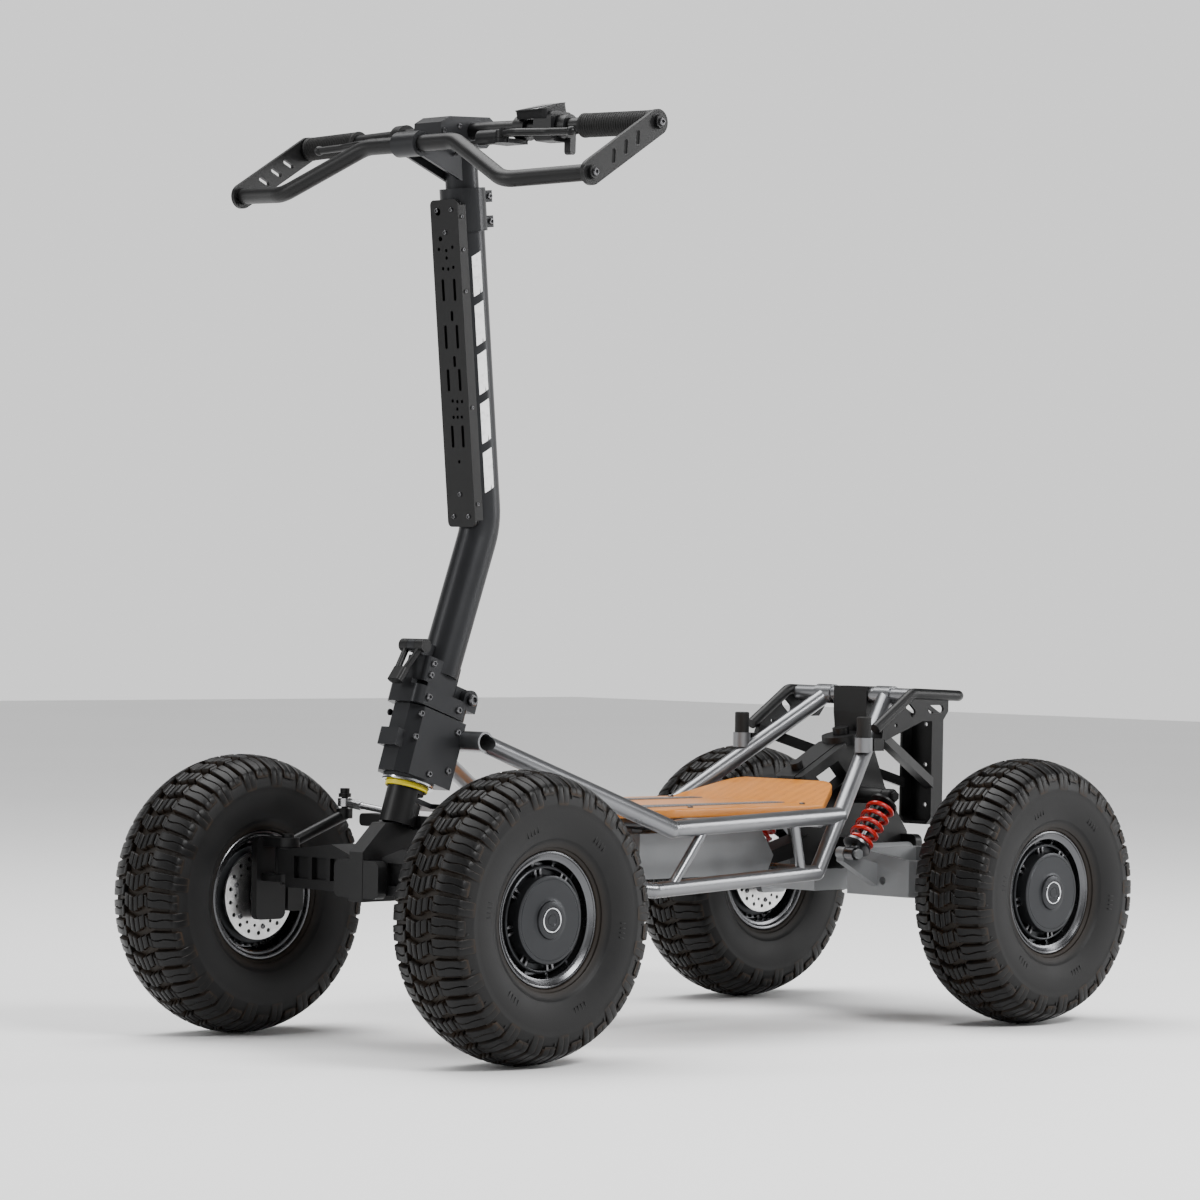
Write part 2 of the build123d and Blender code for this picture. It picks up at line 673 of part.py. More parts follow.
# ---- deck and battery box -------------------------------------------------------------------
deck_front = 250.0
deck_flat_end = -212.0
tail_x = -294.0
tail_half_width = 96.0
with BuildPart() as deck:
    with BuildSketch(Plane(origin=(0, 0, 0), x_dir=(1, 0, 0), z_dir=(0, -1, 0))):
        with BuildLine():
            Polyline(
                (deck_front, deck_base_z),
                (deck_flat_end, deck_base_z),
                (tail_x, deck_base_z + deck_tail_lift),
                (tail_x + 4, deck_base_z + deck_tail_lift + deck_thickness),
                (deck_flat_end + 4, deck_base_z + deck_thickness),
                (deck_front, deck_base_z + deck_thickness),
                close=True,
            )
        make_face()
    extrude(amount=deck_half_width, both=True)
    with BuildSketch(Plane.XY.offset(deck_base_z - 5)):
        with BuildLine():
            Polyline(
                (deck_front, -62),
                (deck_front - 150, -deck_half_width),
                (deck_flat_end, -deck_half_width),
                (tail_x, -tail_half_width),
                (tail_x, tail_half_width),
                (deck_flat_end, deck_half_width),
                (deck_front - 150, deck_half_width),
                (deck_front, 62),
                close=True,
            )
        make_face()
    extrude(amount=60, mode=Mode.INTERSECT)
    fillet(deck.edges().filter_by(Axis.Z).group_by(Axis.X)[0], 20)
    # Two raised grip strips.
    for side in (1, -1):
        with BuildSketch(Plane.XY.offset(deck_base_z + deck_thickness)):
            with BuildLine():
                Polyline(
                    (deck_front - 70, side * 70),
                    (deck_flat_end + 8, side * 76),
                    (deck_flat_end + 8, side * 84),
                    (deck_front - 70, side * 104),
                    close=True,
                )
            make_face()
        extrude(amount=2.5)
save(deck.part, "deck_board")

box_front = 105.0
box_rear = -168.0
box_half = 95.0
box_low = 216.0
box_high = deck_base_z - 23
box_wall = 3.0
with BuildPart() as battery_box:
    for inset, mode in ((0, Mode.ADD), (box_wall, Mode.SUBTRACT)):
        with BuildSketch(Plane(origin=(0, 0, 0), x_dir=(1, 0, 0), z_dir=(0, -1, 0))):
            with BuildLine():
                Polyline(
                    (box_front - inset, box_low + 4 + inset),
                    (box_front - inset, box_high - inset),
                    (box_rear + 26 + inset, box_high - inset),
                    (box_rear + inset, box_low + 26 + inset / 2),
                    (box_rear + 14 + inset, box_low + inset),
                    (box_front - 18 - inset / 2, box_low + inset),
                    close=True,
                )
            make_face()
        extrude(amount=box_half - inset, both=True, mode=mode)
    with BuildSketch(Plane.XY.offset(box_low + box_wall + seat_gap)):
        with Locations(((box_front + box_rear) / 2 + 4, 0)):
            Rectangle(box_front - box_rear - 72, 2 * box_half - 20)
    extrude(amount=box_high - box_low - 12)
    # Pads between the box's lid and the frame's front cross member.
    with BuildSketch(Plane.XY.offset(box_high - 0.5)):
        with Locations((deck_beam_x, 60), (deck_beam_x, -60)):
            Rectangle(20, 30)
    extrude(amount=6)
    with BuildSketch(Plane(origin=(deck_beam_x, -rail_y, deck_beam_z), z_dir=(0, 1, 0))):
        Circle(deck_beam_radius + 0.02)
    extrude(amount=2 * rail_y, mode=Mode.SUBTRACT)
save(battery_box.part, "battery_box")

# ---- front carrier --------------------------------------------------------------------------
tower_z = 299.0
carrier_rear = 326.4
carrier_foot_z = 196.0
front_plate_x = 529.5
with BuildPart() as front_carrier:
    with BuildSketch(Plane(origin=(0, 0, 0), x_dir=(1, 0, 0), z_dir=(0, -1, 0))):
        with BuildLine():
            Polyline(
                (carrier_rear, carrier_foot_z),
                (546, carrier_foot_z),
                (546, 262),
                (505, 300),
                (452, 300),
                (440, 286.5),
                (402, 286.5),
                (380, 268),
                (carrier_rear, 250),
                close=True,
            )
        make_face()
    extrude(amount=13, both=True)
    # End plates that hold the arm hinge pins.
    for plate_x, thickness in ((carrier_rear, 14), (front_plate_x, 16)):
        with BuildSketch(Plane(origin=(plate_x, 0, 0), z_dir=(1, 0, 0), x_dir=(0, 1, 0))):
            with Locations((0, front_hinge_z)):
                RectangleRounded(86, 50, 10)
        extrude(amount=thickness)
    for side in (1, -1):
        with BuildSketch(Plane(origin=(330, side * arm_hinge_y, front_hinge_z), z_dir=(1, 0, 0))):
            Circle(pin_radius)
        extrude(amount=212)
    # The shock tower: a cross beam with a stud at each end.
    with BuildSketch(Plane(origin=(449, 0, 0), z_dir=(1, 0, 0), x_dir=(0, 1, 0))):
        with Locations((0, tower_z)):
            RectangleRounded(2 * front_shock_top.Y + 6, 17, 6)
    extrude(amount=11, both=True)
    for side in (1, -1):
        top = at_side(front_shock_top, side)
        ear_y = top.Y - side * (eye_width / 2 + top_gap)
        with BuildSketch(Plane(origin=(0, ear_y, 0), x_dir=(1, 0, 0), z_dir=(0, -1, 0))):
            with Locations((top.X, top.Z)):
                Circle(10)
            with BuildLine():
                Polyline((top.X - 2, top.Z - 9), (444, 288), (444, 304), (top.X - 2, top.Z + 9), close=True)
            make_face()
        extrude(amount=9 * side)
        with BuildSketch(Plane(origin=(top.X, ear_y, top.Z), z_dir=(0, side, 0))):
            Circle(shock_stud)
        extrude(amount=eye_width + 2 * top_gap + 2)
        with BuildSketch(Plane(origin=(top.X, top.Y + side * (eye_width / 2 + top_gap), top.Z), z_dir=(0, side, 0))):
            RegularPolygon(7.5, 6)
        extrude(amount=5)
    # The column housing round the steering shaft, open at the back for the pitman arm.
    with BuildSketch(head_plane(-158)):
        Circle(25)
    extrude(amount=158 - 108.6)
    with BuildSketch(head_plane(-158)):
        Circle(shaft_radius + running_gap)
    extrude(amount=60, mode=Mode.SUBTRACT)
    with BuildSketch(head_plane(pitman_height - 5)):
        with Locations((-32, 0)):
            Rectangle(64, 62)
    extrude(amount=14, mode=Mode.SUBTRACT)
    # The yellow bush that the head rests on.
    with BuildSketch(head_plane(-108.5)):
        Circle(28)
        Circle(shaft_radius + 1, mode=Mode.SUBTRACT)
    extrude(amount=7)
save(front_carrier.part, "front_carrier")

# ---- head block and steering shaft ----------------------------------------------------------
with BuildPart() as head_block:
    with BuildSketch(head_plane(-94)):
        Polygon((-50, -30), (30, -30), (44, -15), (44, 15), (30, 30), (-50, 30), align=None)
    extrude(amount=93)
    # The dish and chrome ring under the block.
    with BuildSketch(head_plane(-94)):
        Circle(35)
    extrude(amount=-5, taper=14)
    with BuildSketch(head_plane(-101.2)):
        Circle(30)
    extrude(amount=3)
    # The small bracket on the block's front.
    with BuildSketch(head_plane(-62)):
        with Locations((48, 0)):
            Rectangle(14, 34)
    extrude(amount=24)
    with BuildSketch(head_plane(-102)):
        Circle(shaft_radius + running_gap)
    extrude(amount=104, mode=Mode.SUBTRACT)
    with BuildSketch(Plane(origin=(cross_tube_x, -70, cross_tube_z), z_dir=(0, 1, 0))):
        Circle(cross_tube_radius + 0.02)
    extrude(amount=140, mode=Mode.SUBTRACT)
save(head_block.part, "head_block")

hinge_u = -46.0
hinge_w = 32.0
hinge_point = head + head_forward * hinge_u + head_up * hinge_w
cheek_inner = 22.5
cheek_outer = 32.0
with BuildPart() as fold_base:
    with BuildSketch(head_plane(0.5)):
        RectangleRounded(98, 2 * cheek_outer, 12)
    extrude(amount=25)
    for side in (1, -1):
        with BuildSketch(Plane(origin=hinge_point, x_dir=head_forward, z_dir=(0, -1, 0))):
            Circle(13)
            with Locations((0, -8)):
                Rectangle(26, 16)
        extrude(amount=-side * cheek_outer)
    with BuildSketch(Plane(origin=hinge_point - Vector(0, cheek_inner, 0), z_dir=(0, 1, 0))):
        Circle(18)
    extrude(amount=2 * cheek_inner, mode=Mode.SUBTRACT)
    with BuildSketch(Plane(origin=hinge_point - Vector(0, cheek_outer + 2, 0), z_dir=(0, 1, 0))):
        Circle(pin_radius)
    extrude(amount=2 * cheek_outer + 4)
    # The catch under the fold lever.
    with BuildSketch(head_plane(25)):
        with Locations((42, 0)):
            Rectangle(10, 20)
    extrude(amount=8)
    # The steering shaft, welded to the base, and the pitman arm at its foot.
    with BuildSketch(head_plane(-150)):
        Circle(shaft_radius)
    extrude(amount=153)
    with BuildSketch(head_plane(pitman_height)):
        with Locations((-pitman_reach / 2, 0)):
            Rectangle(pitman_reach, 16)
        with Locations((-pitman_reach, 0)):
            RectangleRounded(16, 2 * pitman_half_span + 16, 7)
    extrude(amount=7)
save(fold_base.part, "steering_base")

# ---- lower stem -----------------------------------------------------------------------------
bend = Vector(stem_bend_x, 0, stem_bend_z)
stem_top = Vector(stem_top_x, 0, stem_top_z)
upper_dir = (stem_top - bend).normalized()
stem_foot = head + head_forward * -6 + head_up * 52
inner_radius = stem_radius - stem_wall
with BuildPart() as lower_stem:
    with BuildLine() as stem_line:
        FilletPolyline(stem_foot, bend, stem_top - upper_dir * 12, radius=stem_bend_radius)
    with BuildSketch(line_plane(stem_foot, bend)):
        Circle(stem_radius)
    sweep(path=stem_line.line)
    # The foot block and the hinge lug.
    with BuildSketch(head_plane(26)):
        with Locations((5, 0)):
            RectangleRounded(66, 43, 6)
    extrude(amount=42)
    with BuildSketch(Plane(origin=hinge_point - Vector(0, cheek_inner - 1, 0), z_dir=(0, 1, 0))):
        Circle(13)
    extrude(amount=2 * (cheek_inner - 1))
    with BuildSketch(head_plane(26)):
        with Locations((-34, 0)):
            Rectangle(20, 43)
    extrude(amount=19)
    with BuildSketch(head_plane(20)):
        with Locations((40, 0)):
            Rectangle(24, 60)
    extrude(amount=13.5, mode=Mode.SUBTRACT)
    # The clamp collar at the top, with two split lugs behind.
    collar_base = bend + upper_dir * ((stem_top - bend).length - 58)
    with BuildSketch(Plane(origin=collar_base, x_dir=(0, 1, 0), z_dir=upper_dir)):
        Circle(stem_radius + 4)
    extrude(amount=58)
    for lift in (4, 38):
        with BuildSketch(Plane(origin=collar_base + upper_dir * lift, x_dir=(0, 1, 0), z_dir=upper_dir)):
            with Locations((-11, stem_radius + 5), (11, stem_radius + 5)):
                Rectangle(12, 13)
        extrude(amount=16)
    # The lug that the fold lever hangs on.
    lever_lug = head + head_forward * 48 + head_up * 78
    with BuildSketch(Plane(origin=lever_lug - Vector(0, 7, 0), x_dir=head_forward, z_dir=(0, 1, 0))):
        Circle(9)
        with Locations((-18, 0)):
            Rectangle(36, 18)
    extrude(amount=14)
    # The bore that the upper stem slides in.
    bore_length = 260.0
    with BuildSketch(Plane(origin=stem_top - upper_dir * bore_length, z_dir=upper_dir)):
        Circle(inner_radius + running_gap)
    extrude(amount=bore_length + 1, mode=Mode.SUBTRACT)
    with BuildSketch(Plane(origin=hinge_point - Vector(0, cheek_outer, 0), z_dir=(0, 1, 0))):
        Circle(barrel_bore)
    extrude(amount=2 * cheek_outer, mode=Mode.SUBTRACT)
    with BuildSketch(Plane(origin=lever_lug - Vector(0, 10, 0), z_dir=(0, 1, 0))):
        Circle(4 + running_gap)
    extrude(amount=20, mode=Mode.SUBTRACT)
save(lower_stem.part, "lower_stem")

with BuildPart() as fold_lever:
    lever_tip = head + head_forward * 66 + head_up * 26
    for side in (1, -1):
        with BuildSketch(Plane(origin=lever_lug + Vector(0, side * 7.5, 0), z_dir=(0, side, 0))):
            Circle(9)
        extrude(amount=15)
    with BuildSketch(Plane(origin=lever_lug - Vector(0, 15, 0), z_dir=(0, 1, 0))):
        Circle(4)
    extrude(amount=30)
    for side in (1, -1):
        with BuildSketch(line_plane(lever_lug + Vector(0, side * 14, 0), lever_tip + Vector(0, side * 5, 0))):
            Circle(4.5)
        extrude(amount=(lever_tip - lever_lug).length)
    with BuildSketch(line_plane(lever_tip - (lever_tip - lever_lug).normalized() * 16, lever_tip)):
        RectangleRounded(12, 24, 5)
    extrude(amount=20)
save(fold_lever.part, "fold_lever")

# ---- accessory panel ------------------------------------------------------------------------
panel_half = 26.5
panel_depth = 15.0
panel_gap = 2.5
panel_top = stem_top - upper_dir * 14
panel_span = 440.0
panel_back = stem_radius + 4 + panel_gap
panel_forward = Vector(upper_dir.Z, 0, -upper_dir.X)
face_plane = Plane(
    origin=panel_top - upper_dir * (panel_span / 2) + panel_forward * (panel_back + 3),
    x_dir=(0, 1, 0),
    z_dir=panel_forward,
)
panel_holes = [
    (-12, 204, 5.0),
    (-10, 168, 3.4),
    (-14, 154, 2.4),
    (12, 156, 2.4),
    (0, 152, 2.4),
    (0, 142, 2.4),
    (-8, 128, 2.4),
    (12, 129, 2.4),
    (2, 127, 2.4),
    (-4, -50, 2.4),
    (14, -51, 2.4),
    (5, -51, 2.4),
    (4, -61, 2.4),
    (-4, -72, 2.4),
    (12, -72, 2.4),
    (4, -72, 2.4),
    (2, -132, 2.4),
]
panel_slots = [
    (-10, 99, 30),
    (12, 99, 30),
    (4, 64, 14),
    (-10, 36, 32),
    (12, 36, 32),
    (4, 3, 15),
    (-10, -22, 30),
    (12, -22, 30),
    (-8, -98, 30),
    (12, -98, 30),
]
with BuildPart() as stem_panel:
    with BuildSketch(face_plane):
        RectangleRounded(2 * panel_half, panel_span, 7)
    extrude(amount=-3)
    for side in (1, -1):
        with BuildSketch(face_plane):
            with Locations((side * (panel_half - 1.25), 0)):
                Rectangle(2.5, panel_span - 16)
        extrude(amount=-panel_depth)
    with BuildSketch(face_plane):
        for hole_x, hole_y, radius in panel_holes:
            with Locations((hole_x, hole_y)):
                Circle(radius)
        for slot_x, slot_y, slot_length in panel_slots:
            with Locations((slot_x, slot_y)):
                SlotOverall(slot_length, 5, rotation=90)
    extrude(amount=-4, mode=Mode.SUBTRACT)
    # Spacers that stand the panel off the stem and the collar.
    for height, reach in ((panel_span / 2 - 40, panel_gap - 0.1), (-panel_span / 2 + 40, panel_gap + 4 - 0.1)):
        with BuildSketch(face_plane.offset(-3)):
            with Locations((0, height)):
                Rectangle(16, 20)
        extrude(amount=-reach)
save(stem_panel.part, "stem_panel")

# ---- upper stem and handlebar ---------------------------------------------------------------
clamp_half_width = 26.0
guard_centre = Vector(guard_x, 0, guard_z)
with BuildPart() as upper_stem:
    with BuildSketch(Plane(origin=stem_top - upper_dir * 200, z_dir=upper_dir)):
        Circle(inner_radius)
    extrude(amount=200 + 58)
    with BuildSketch(Plane(origin=stem_top - upper_dir * 201, z_dir=upper_dir)):
        Circle(inner_radius - 4)
    extrude(amount=210, mode=Mode.SUBTRACT)
    # The clamp block round the bar, and its front cap.
    with BuildSketch(Plane(origin=(0, -clamp_half_width, 0), x_dir=(1, 0, 0), z_dir=(0, -1, 0))):
        with BuildLine():
            Polyline(
                (bar_x - 40, bar_z - 6),
                (bar_x - 40, bar_z + 14),
                (bar_x - 30, bar_z + 21),
                (bar_x + 44, bar_z + 17),
                (bar_x + 60, bar_z + 8),
                (bar_x + 60, bar_z - 8),
                (bar_x + 30, bar_z - 21),
                (bar_x - 26, bar_z - 21),
                close=True,
            )
        make_face()
    extrude(amount=-2 * clamp_half_width)
    # Twin gusset plates from the stem to the guard's centre clamp.
    for side in (1, -1):
        with BuildSketch(Plane(origin=(0, side * 12, 0), x_dir=(1, 0, 0), z_dir=(0, -1, 0))):
            with BuildLine():
                Polyline(
                    (bar_x + 12, bar_z - 12),
                    (guard_x + 6, guard_z + 14),
                    (guard_x + 14, guard_z - 6),
                    (guard_x - 8, guard_z - 16),
                    (stem_top_x + 16, stem_top_z + 8),
                    (stem_top_x + 10, stem_top_z + 26),
                    close=True,
                )
            make_face()
        extrude(amount=-5 * side)
    with BuildSketch(Plane(origin=guard_centre - Vector(0, 22, 0), z_dir=(0, 1, 0))):
        Circle(bar_radius + 6)
    extrude(amount=44)
    with BuildSketch(Plane(origin=guard_centre - Vector(0, 30, 0), z_dir=(0, 1, 0))):
        Circle(bar_radius + 0.02)
    extrude(amount=60, mode=Mode.SUBTRACT)
    with BuildSketch(Plane(origin=(bar_x, -40, bar_z), z_dir=(0, 1, 0))):
        Circle(bar_radius + 0.02)
    extrude(amount=80, mode=Mode.SUBTRACT)
save(upper_stem.part, "upper_stem")

bar_straight = 60.0
grip_dir = Vector(-bar_sweep, bar_half - bar_straight, -3).normalized()


def bar_point(distance, side):
    """The bar's centre at a distance out from its middle, on its swept part."""
    start = Vector(bar_x, bar_straight, bar_z)
    point = start + grip_dir * ((distance - bar_straight) / grip_dir.Y)
    return at_side(point, side)


bar_end = bar_point(bar_half - 1.5, 1)
with BuildPart() as handlebar:
    with BuildLine() as bar_path:
        FilletPolyline(
            at_side(bar_end, -1),
            (bar_x, -bar_straight, bar_z),
            (bar_x, bar_straight, bar_z),
            bar_end,
            radius=60,
        )
    with BuildSketch(Plane(origin=bar_path.line @ 0, z_dir=bar_path.line % 0)):
        Circle(bar_radius)
        Circle(bar_radius - 2, mode=Mode.SUBTRACT)
    sweep(path=bar_path.line)
save(handlebar.part, "handlebar")

guard_path_points = [
    (guard_x, -bar_half + 3, guard_z - guard_drop),
    (guard_x + 35, -214, guard_z - guard_drop - 6),
    (guard_x, -86, guard_z),
    (guard_x, 86, guard_z),
    (guard_x + 35, 214, guard_z - guard_drop - 6),
    (guard_x, bar_half - 3, guard_z - guard_drop),
]
with BuildPart() as guard_bar:
    with BuildLine() as guard_path:
        FilletPolyline(*guard_path_points, radius=45)
    with BuildSketch(Plane(origin=guard_path.line @ 0, z_dir=guard_path.line % 0)):
        Circle(bar_radius)
    sweep(path=guard_path.line)
    # End plates that tie each guard end to the grip end, with three slanted slots.
    grip_end = Vector(bar_x - bar_sweep, 0, bar_z - 3)
    guard_end = Vector(guard_x, 0, guard_z - guard_drop)
    plate_dir = (guard_end - grip_end).normalized()
    plate_centre = (guard_end + grip_end) * 0.5
    plate_length = (guard_end - grip_end).length
    for side in (1, -1):
        plate_plane = Plane(
            origin=plate_centre + Vector(0, side * (bar_half + seat_gap), 0),
            x_dir=plate_dir,
            z_dir=(0, side, 0),
        )
        with BuildSketch(plate_plane):
            SlotCenterToCenter(plate_length, 34)
            with Locations((-26, 0), (0, 0), (26, 0)):
                SlotOverall(20, 6, rotation=55, mode=Mode.SUBTRACT)
        extrude(amount=6)
        with BuildSketch(plate_plane.offset(6)):
            with Locations((-plate_length / 2, 0), (plate_length / 2, 0)):
                Circle(9)
        extrude(amount=5)
        with BuildSketch(plate_plane):
            with Locations((plate_length / 2, 0)):
                Circle(bar_radius)
        extrude(amount=-6)
save(guard_bar.part, "guard_bar")

with BuildPart() as grips:
    for side in (1, -1):
        start = bar_point(bar_half - grip_length, side)
        with BuildSketch(Plane(origin=start, z_dir=at_side(grip_dir, side))):
            Circle(grip_radius)
            Circle(bar_radius + 0.02, mode=Mode.SUBTRACT)
        extrude(amount=grip_length - 2)
save(grips.part, "grips")

# ---- controls -------------------------------------------------------------------------------
lever_y = 112.0
lever_drop = 12.0
pivot_forward = 36.0
with BuildPart() as controls:
    for side in (1, -1):
        clamp_point = bar_point(118, side)
        out = at_side(grip_dir, side)
        with BuildSketch(Plane(origin=clamp_point - out * 9, x_dir=(1, 0, 0), z_dir=out)):
            Circle(17)
            Circle(bar_radius + 0.02, mode=Mode.SUBTRACT)
        extrude(amount=18)
        # The master cylinder in front of the bar.
        with BuildSketch(Plane(origin=clamp_point + Vector(26, side * -58, -lever_drop), z_dir=(0, side, 0))):
            Circle(10)
        extrude(amount=41)
        # The bracket that joins the clamp, the cylinder and the lever's pivot.
        with BuildSketch(Plane.XY.offset(clamp_point.Z - lever_drop - 10)):
            with Locations((clamp_point.X + pivot_forward, side * lever_y)):
                Circle(9)
            with Locations((clamp_point.X + 18, side * 104)):
                Rectangle(36, 40)
        extrude(amount=6)
        with BuildSketch(Plane.XY.offset(clamp_point.Z - lever_drop - 10)):
            with Locations((clamp_point.X + pivot_forward, side * lever_y)):
                Circle(4)
        extrude(amount=20)
    # The display and throttle housing on the left.
    housing_point = bar_point(168, 1)
    with BuildSketch(Plane(origin=housing_point - grip_dir * 18, x_dir=(1, 0, 0), z_dir=grip_dir)):
        RectangleRounded(46, 40, 9)
        Circle(bar_radius + 0.02, mode=Mode.SUBTRACT)
    extrude(amount=30)
    display_point = bar_point(148, 1)
    with BuildSketch(Plane(origin=display_point + Vector(2, 0, 15), x_dir=(1, 0, 0), z_dir=(0.25, 0, 1))):
        RectangleRounded(44, 56, 6)
    extrude(amount=12)
save(controls.part, "control_housings")

for hand, side in (("left", 1), ("right", -1)):
    pivot = bar_point(118, side) + Vector(pivot_forward, 0, -lever_drop)
    pivot = Vector(pivot.X, side * lever_y, pivot.Z)
    with BuildPart() as brake_lever:
        with BuildSketch(Plane.XY.offset(pivot.Z - 3.6)):
            with Locations((pivot.X, pivot.Y)):
                Circle(9)
        extrude(amount=10)
        with BuildLine() as blade:
            FilletPolyline(
                (pivot.X, pivot.Y, pivot.Z + 1.5),
                (pivot.X + 14, pivot.Y + side * 34, pivot.Z + 1.5),
                (pivot.X + 2, pivot.Y + side * 84, pivot.Z),
                (pivot.X + 4, pivot.Y + side * 132, pivot.Z - 2),
                radius=40,
            )
        with BuildSketch(Plane(origin=blade.line @ 0, z_dir=blade.line % 0)):
            Circle(5)
        sweep(path=blade.line)
        with Locations((pivot.X + 4, pivot.Y + side * 132, pivot.Z - 2)):
            Sphere(6.5)
        with BuildSketch(Plane.XY.offset(pivot.Z - 20)):
            with Locations((pivot.X, pivot.Y)):
                Circle(4 + running_gap)
        extrude(amount=30, mode=Mode.SUBTRACT)
    save(brake_lever.part, f"brake_lever_{hand}")

with BuildPart() as throttle:
    ring_start = bar_point(181.5, 1)
    with BuildSketch(Plane(origin=ring_start, x_dir=(1, 0, 0), z_dir=grip_dir)):
        Circle(16)
    extrude(amount=14)
    paddle = Plane(origin=ring_start + grip_dir * 2, x_dir=(1, 0, 0), z_dir=grip_dir)
    with BuildSketch(paddle):
        with Locations((-8, 22)):
            RectangleRounded(12, 30, 5)
    extrude(amount=10)
    with BuildSketch(Plane(origin=ring_start - grip_dir * 2, x_dir=(1, 0, 0), z_dir=grip_dir)):
        Circle(bar_radius + 0.1)
    extrude(amount=20, mode=Mode.SUBTRACT)
save(throttle.part, "throttle_paddle")

# ---- hoses ----------------------------------------------------------------------------------
hose_radius = 2.75
hose_exit_drop = 4.4
hose_first_run = 22.0
hose_fall = 15.4
gusset_face = 17.0
hose_end_gap = 0.75 * hose_radius
for hand, side in (("left", 1), ("right", -1)):
    mouth = bar_point(118, side) + Vector(26, side * -58, -lever_drop - hose_exit_drop)
    knee = mouth + Vector(0, side * -hose_first_run, 0)
    foot = Vector(bar_x + 26, side * (gusset_face + hose_end_gap), knee.Z - hose_fall)
    first_run = knee - mouth
    second_run = foot - knee
    half_turn = math.radians(first_run.get_angle(second_run)) / 2
    hose_bend = 0.45 * min(first_run.length, second_run.length) / math.tan(half_turn)
    with BuildPart() as hose:
        with BuildLine() as path:
            FilletPolyline(mouth, knee, foot, radius=hose_bend)
        with BuildSketch(Plane(origin=path.line @ 0, z_dir=path.line % 0)):
            Circle(hose_radius)
        sweep(path=path.line)
    save(hose.part, f"brake_hose_{hand}")
    hose_length = path.wire().length
    print("hose", hand, "length", round(hose_length, 2), "bend radius", round(hose_bend, 1))
    print("volume", round(hose.part.volume, 1), "section x length", round(math.pi * hose_radius**2 * hose_length, 1))
    print("route", [tuple(round(v, 2) for v in point) for point in (mouth, knee, foot)])

# ---- rear carrier, rack and channel ---------------------------------------------------------
with BuildPart() as rear_carrier:
    with BuildSketch(Plane(origin=(0, 0, 0), x_dir=(1, 0, 0), z_dir=(0, -1, 0))):
        with BuildLine():
            Polyline(
                (-324, 212),
                (-318, 262),
                (-298, 322),
                (-300, 348),
                (-395, 396),
                (-470, 396),
                (-500, 330),
                (-552, 262),
                (-552, 212),
                close=True,
            )
        make_face()
        with BuildLine():
            Polyline((-345, 345), (-395, 369), (-420, 345), (-372, 318), close=True)
        make_face(mode=Mode.SUBTRACT)
    extrude(amount=13, both=True)
    for plate_x, thickness in ((-397.4, 14), (-half_base - 44.6, 14)):
        with BuildSketch(Plane(origin=(plate_x, 0, 0), z_dir=(1, 0, 0), x_dir=(0, 1, 0))):
            with Locations((0, rear_hinge_z)):
                RectangleRounded(86, 46, 10)
        extrude(amount=thickness)
    for side in (1, -1):
        with BuildSketch(Plane(origin=(-half_base - 40, side * arm_hinge_y, rear_hinge_z), z_dir=(1, 0, 0))):
            Circle(pin_radius)
        extrude(amount=half_base + 40 - 390)
        # The broad shoulder, the shock stud and its nut.
        top = at_side(rear_shock_top, side)
        ear_y = top.Y - side * (eye_width / 2 + top_gap)
        with BuildSketch(Plane(origin=(top.X, 0, top.Z), z_dir=(0, side, 0))):
            Circle(14)
        extrude(amount=abs(ear_y), taper=2)
        with BuildSketch(Plane(origin=(top.X, ear_y, top.Z), z_dir=(0, side, 0))):
            Circle(shock_stud)
        extrude(amount=eye_width + 2 * top_gap + 2)
        with BuildSketch(Plane(origin=(top.X, top.Y + side * (eye_width / 2 + top_gap), top.Z), z_dir=(0, side, 0))):
            RegularPolygon(7.5, 6)
        extrude(amount=5)
    # The sloping upper flange, the rubber mount on it, and the block under the cross tube.
    slope = Plane(origin=(-350, 0, 372), x_dir=(0, 1, 0), z_dir=(0.45, 0, 0.89))
    with BuildSketch(slope):
        RectangleRounded(54, 112, 8)
    extrude(amount=-7)
    with BuildSketch(Plane(origin=(-418, 0, 394), z_dir=(0.2, 0, 1))):
        Circle(29)
    extrude(amount=14)
    with BuildSketch(Plane(origin=(-418, 0, 394), z_dir=(0.2, 0, 1))):
        Circle(12)
    extrude(amount=24)
    with BuildSketch(Plane(origin=(-322, 0, 358), z_dir=(0.45, 0, 0.89))):
        Circle(9)
    extrude(amount=12)
    with BuildSketch(Plane(origin=(0, 0, 0), x_dir=(1, 0, 0), z_dir=(0, -1, 0))):
        with BuildLine():
            Polyline((-440, 390), (-434, 440), (-434, 478), (-462, 478), (-462, 440), (-476, 390), close=True)
        make_face()
    extrude(amount=32, both=True)
    with BuildSketch(Plane(origin=(rear_cross_x, -40, rear_cross_z), z_dir=(0, 1, 0))):
        Circle(rail_radius + 0.02)
    extrude(amount=80, mode=Mode.SUBTRACT)
    # The spine that bolts the carrier to the frame's rear sill.
    with BuildSketch(Plane(origin=(0, 0, 0), x_dir=(1, 0, 0), z_dir=(0, -1, 0))):
        with BuildLine():
            Polyline((-191.5, 213), (-191.5, 229), (-326, 262), (-326, 236), close=True)
        make_face()
    extrude(amount=20, both=True)
save(rear_carrier.part, "rear_carrier")

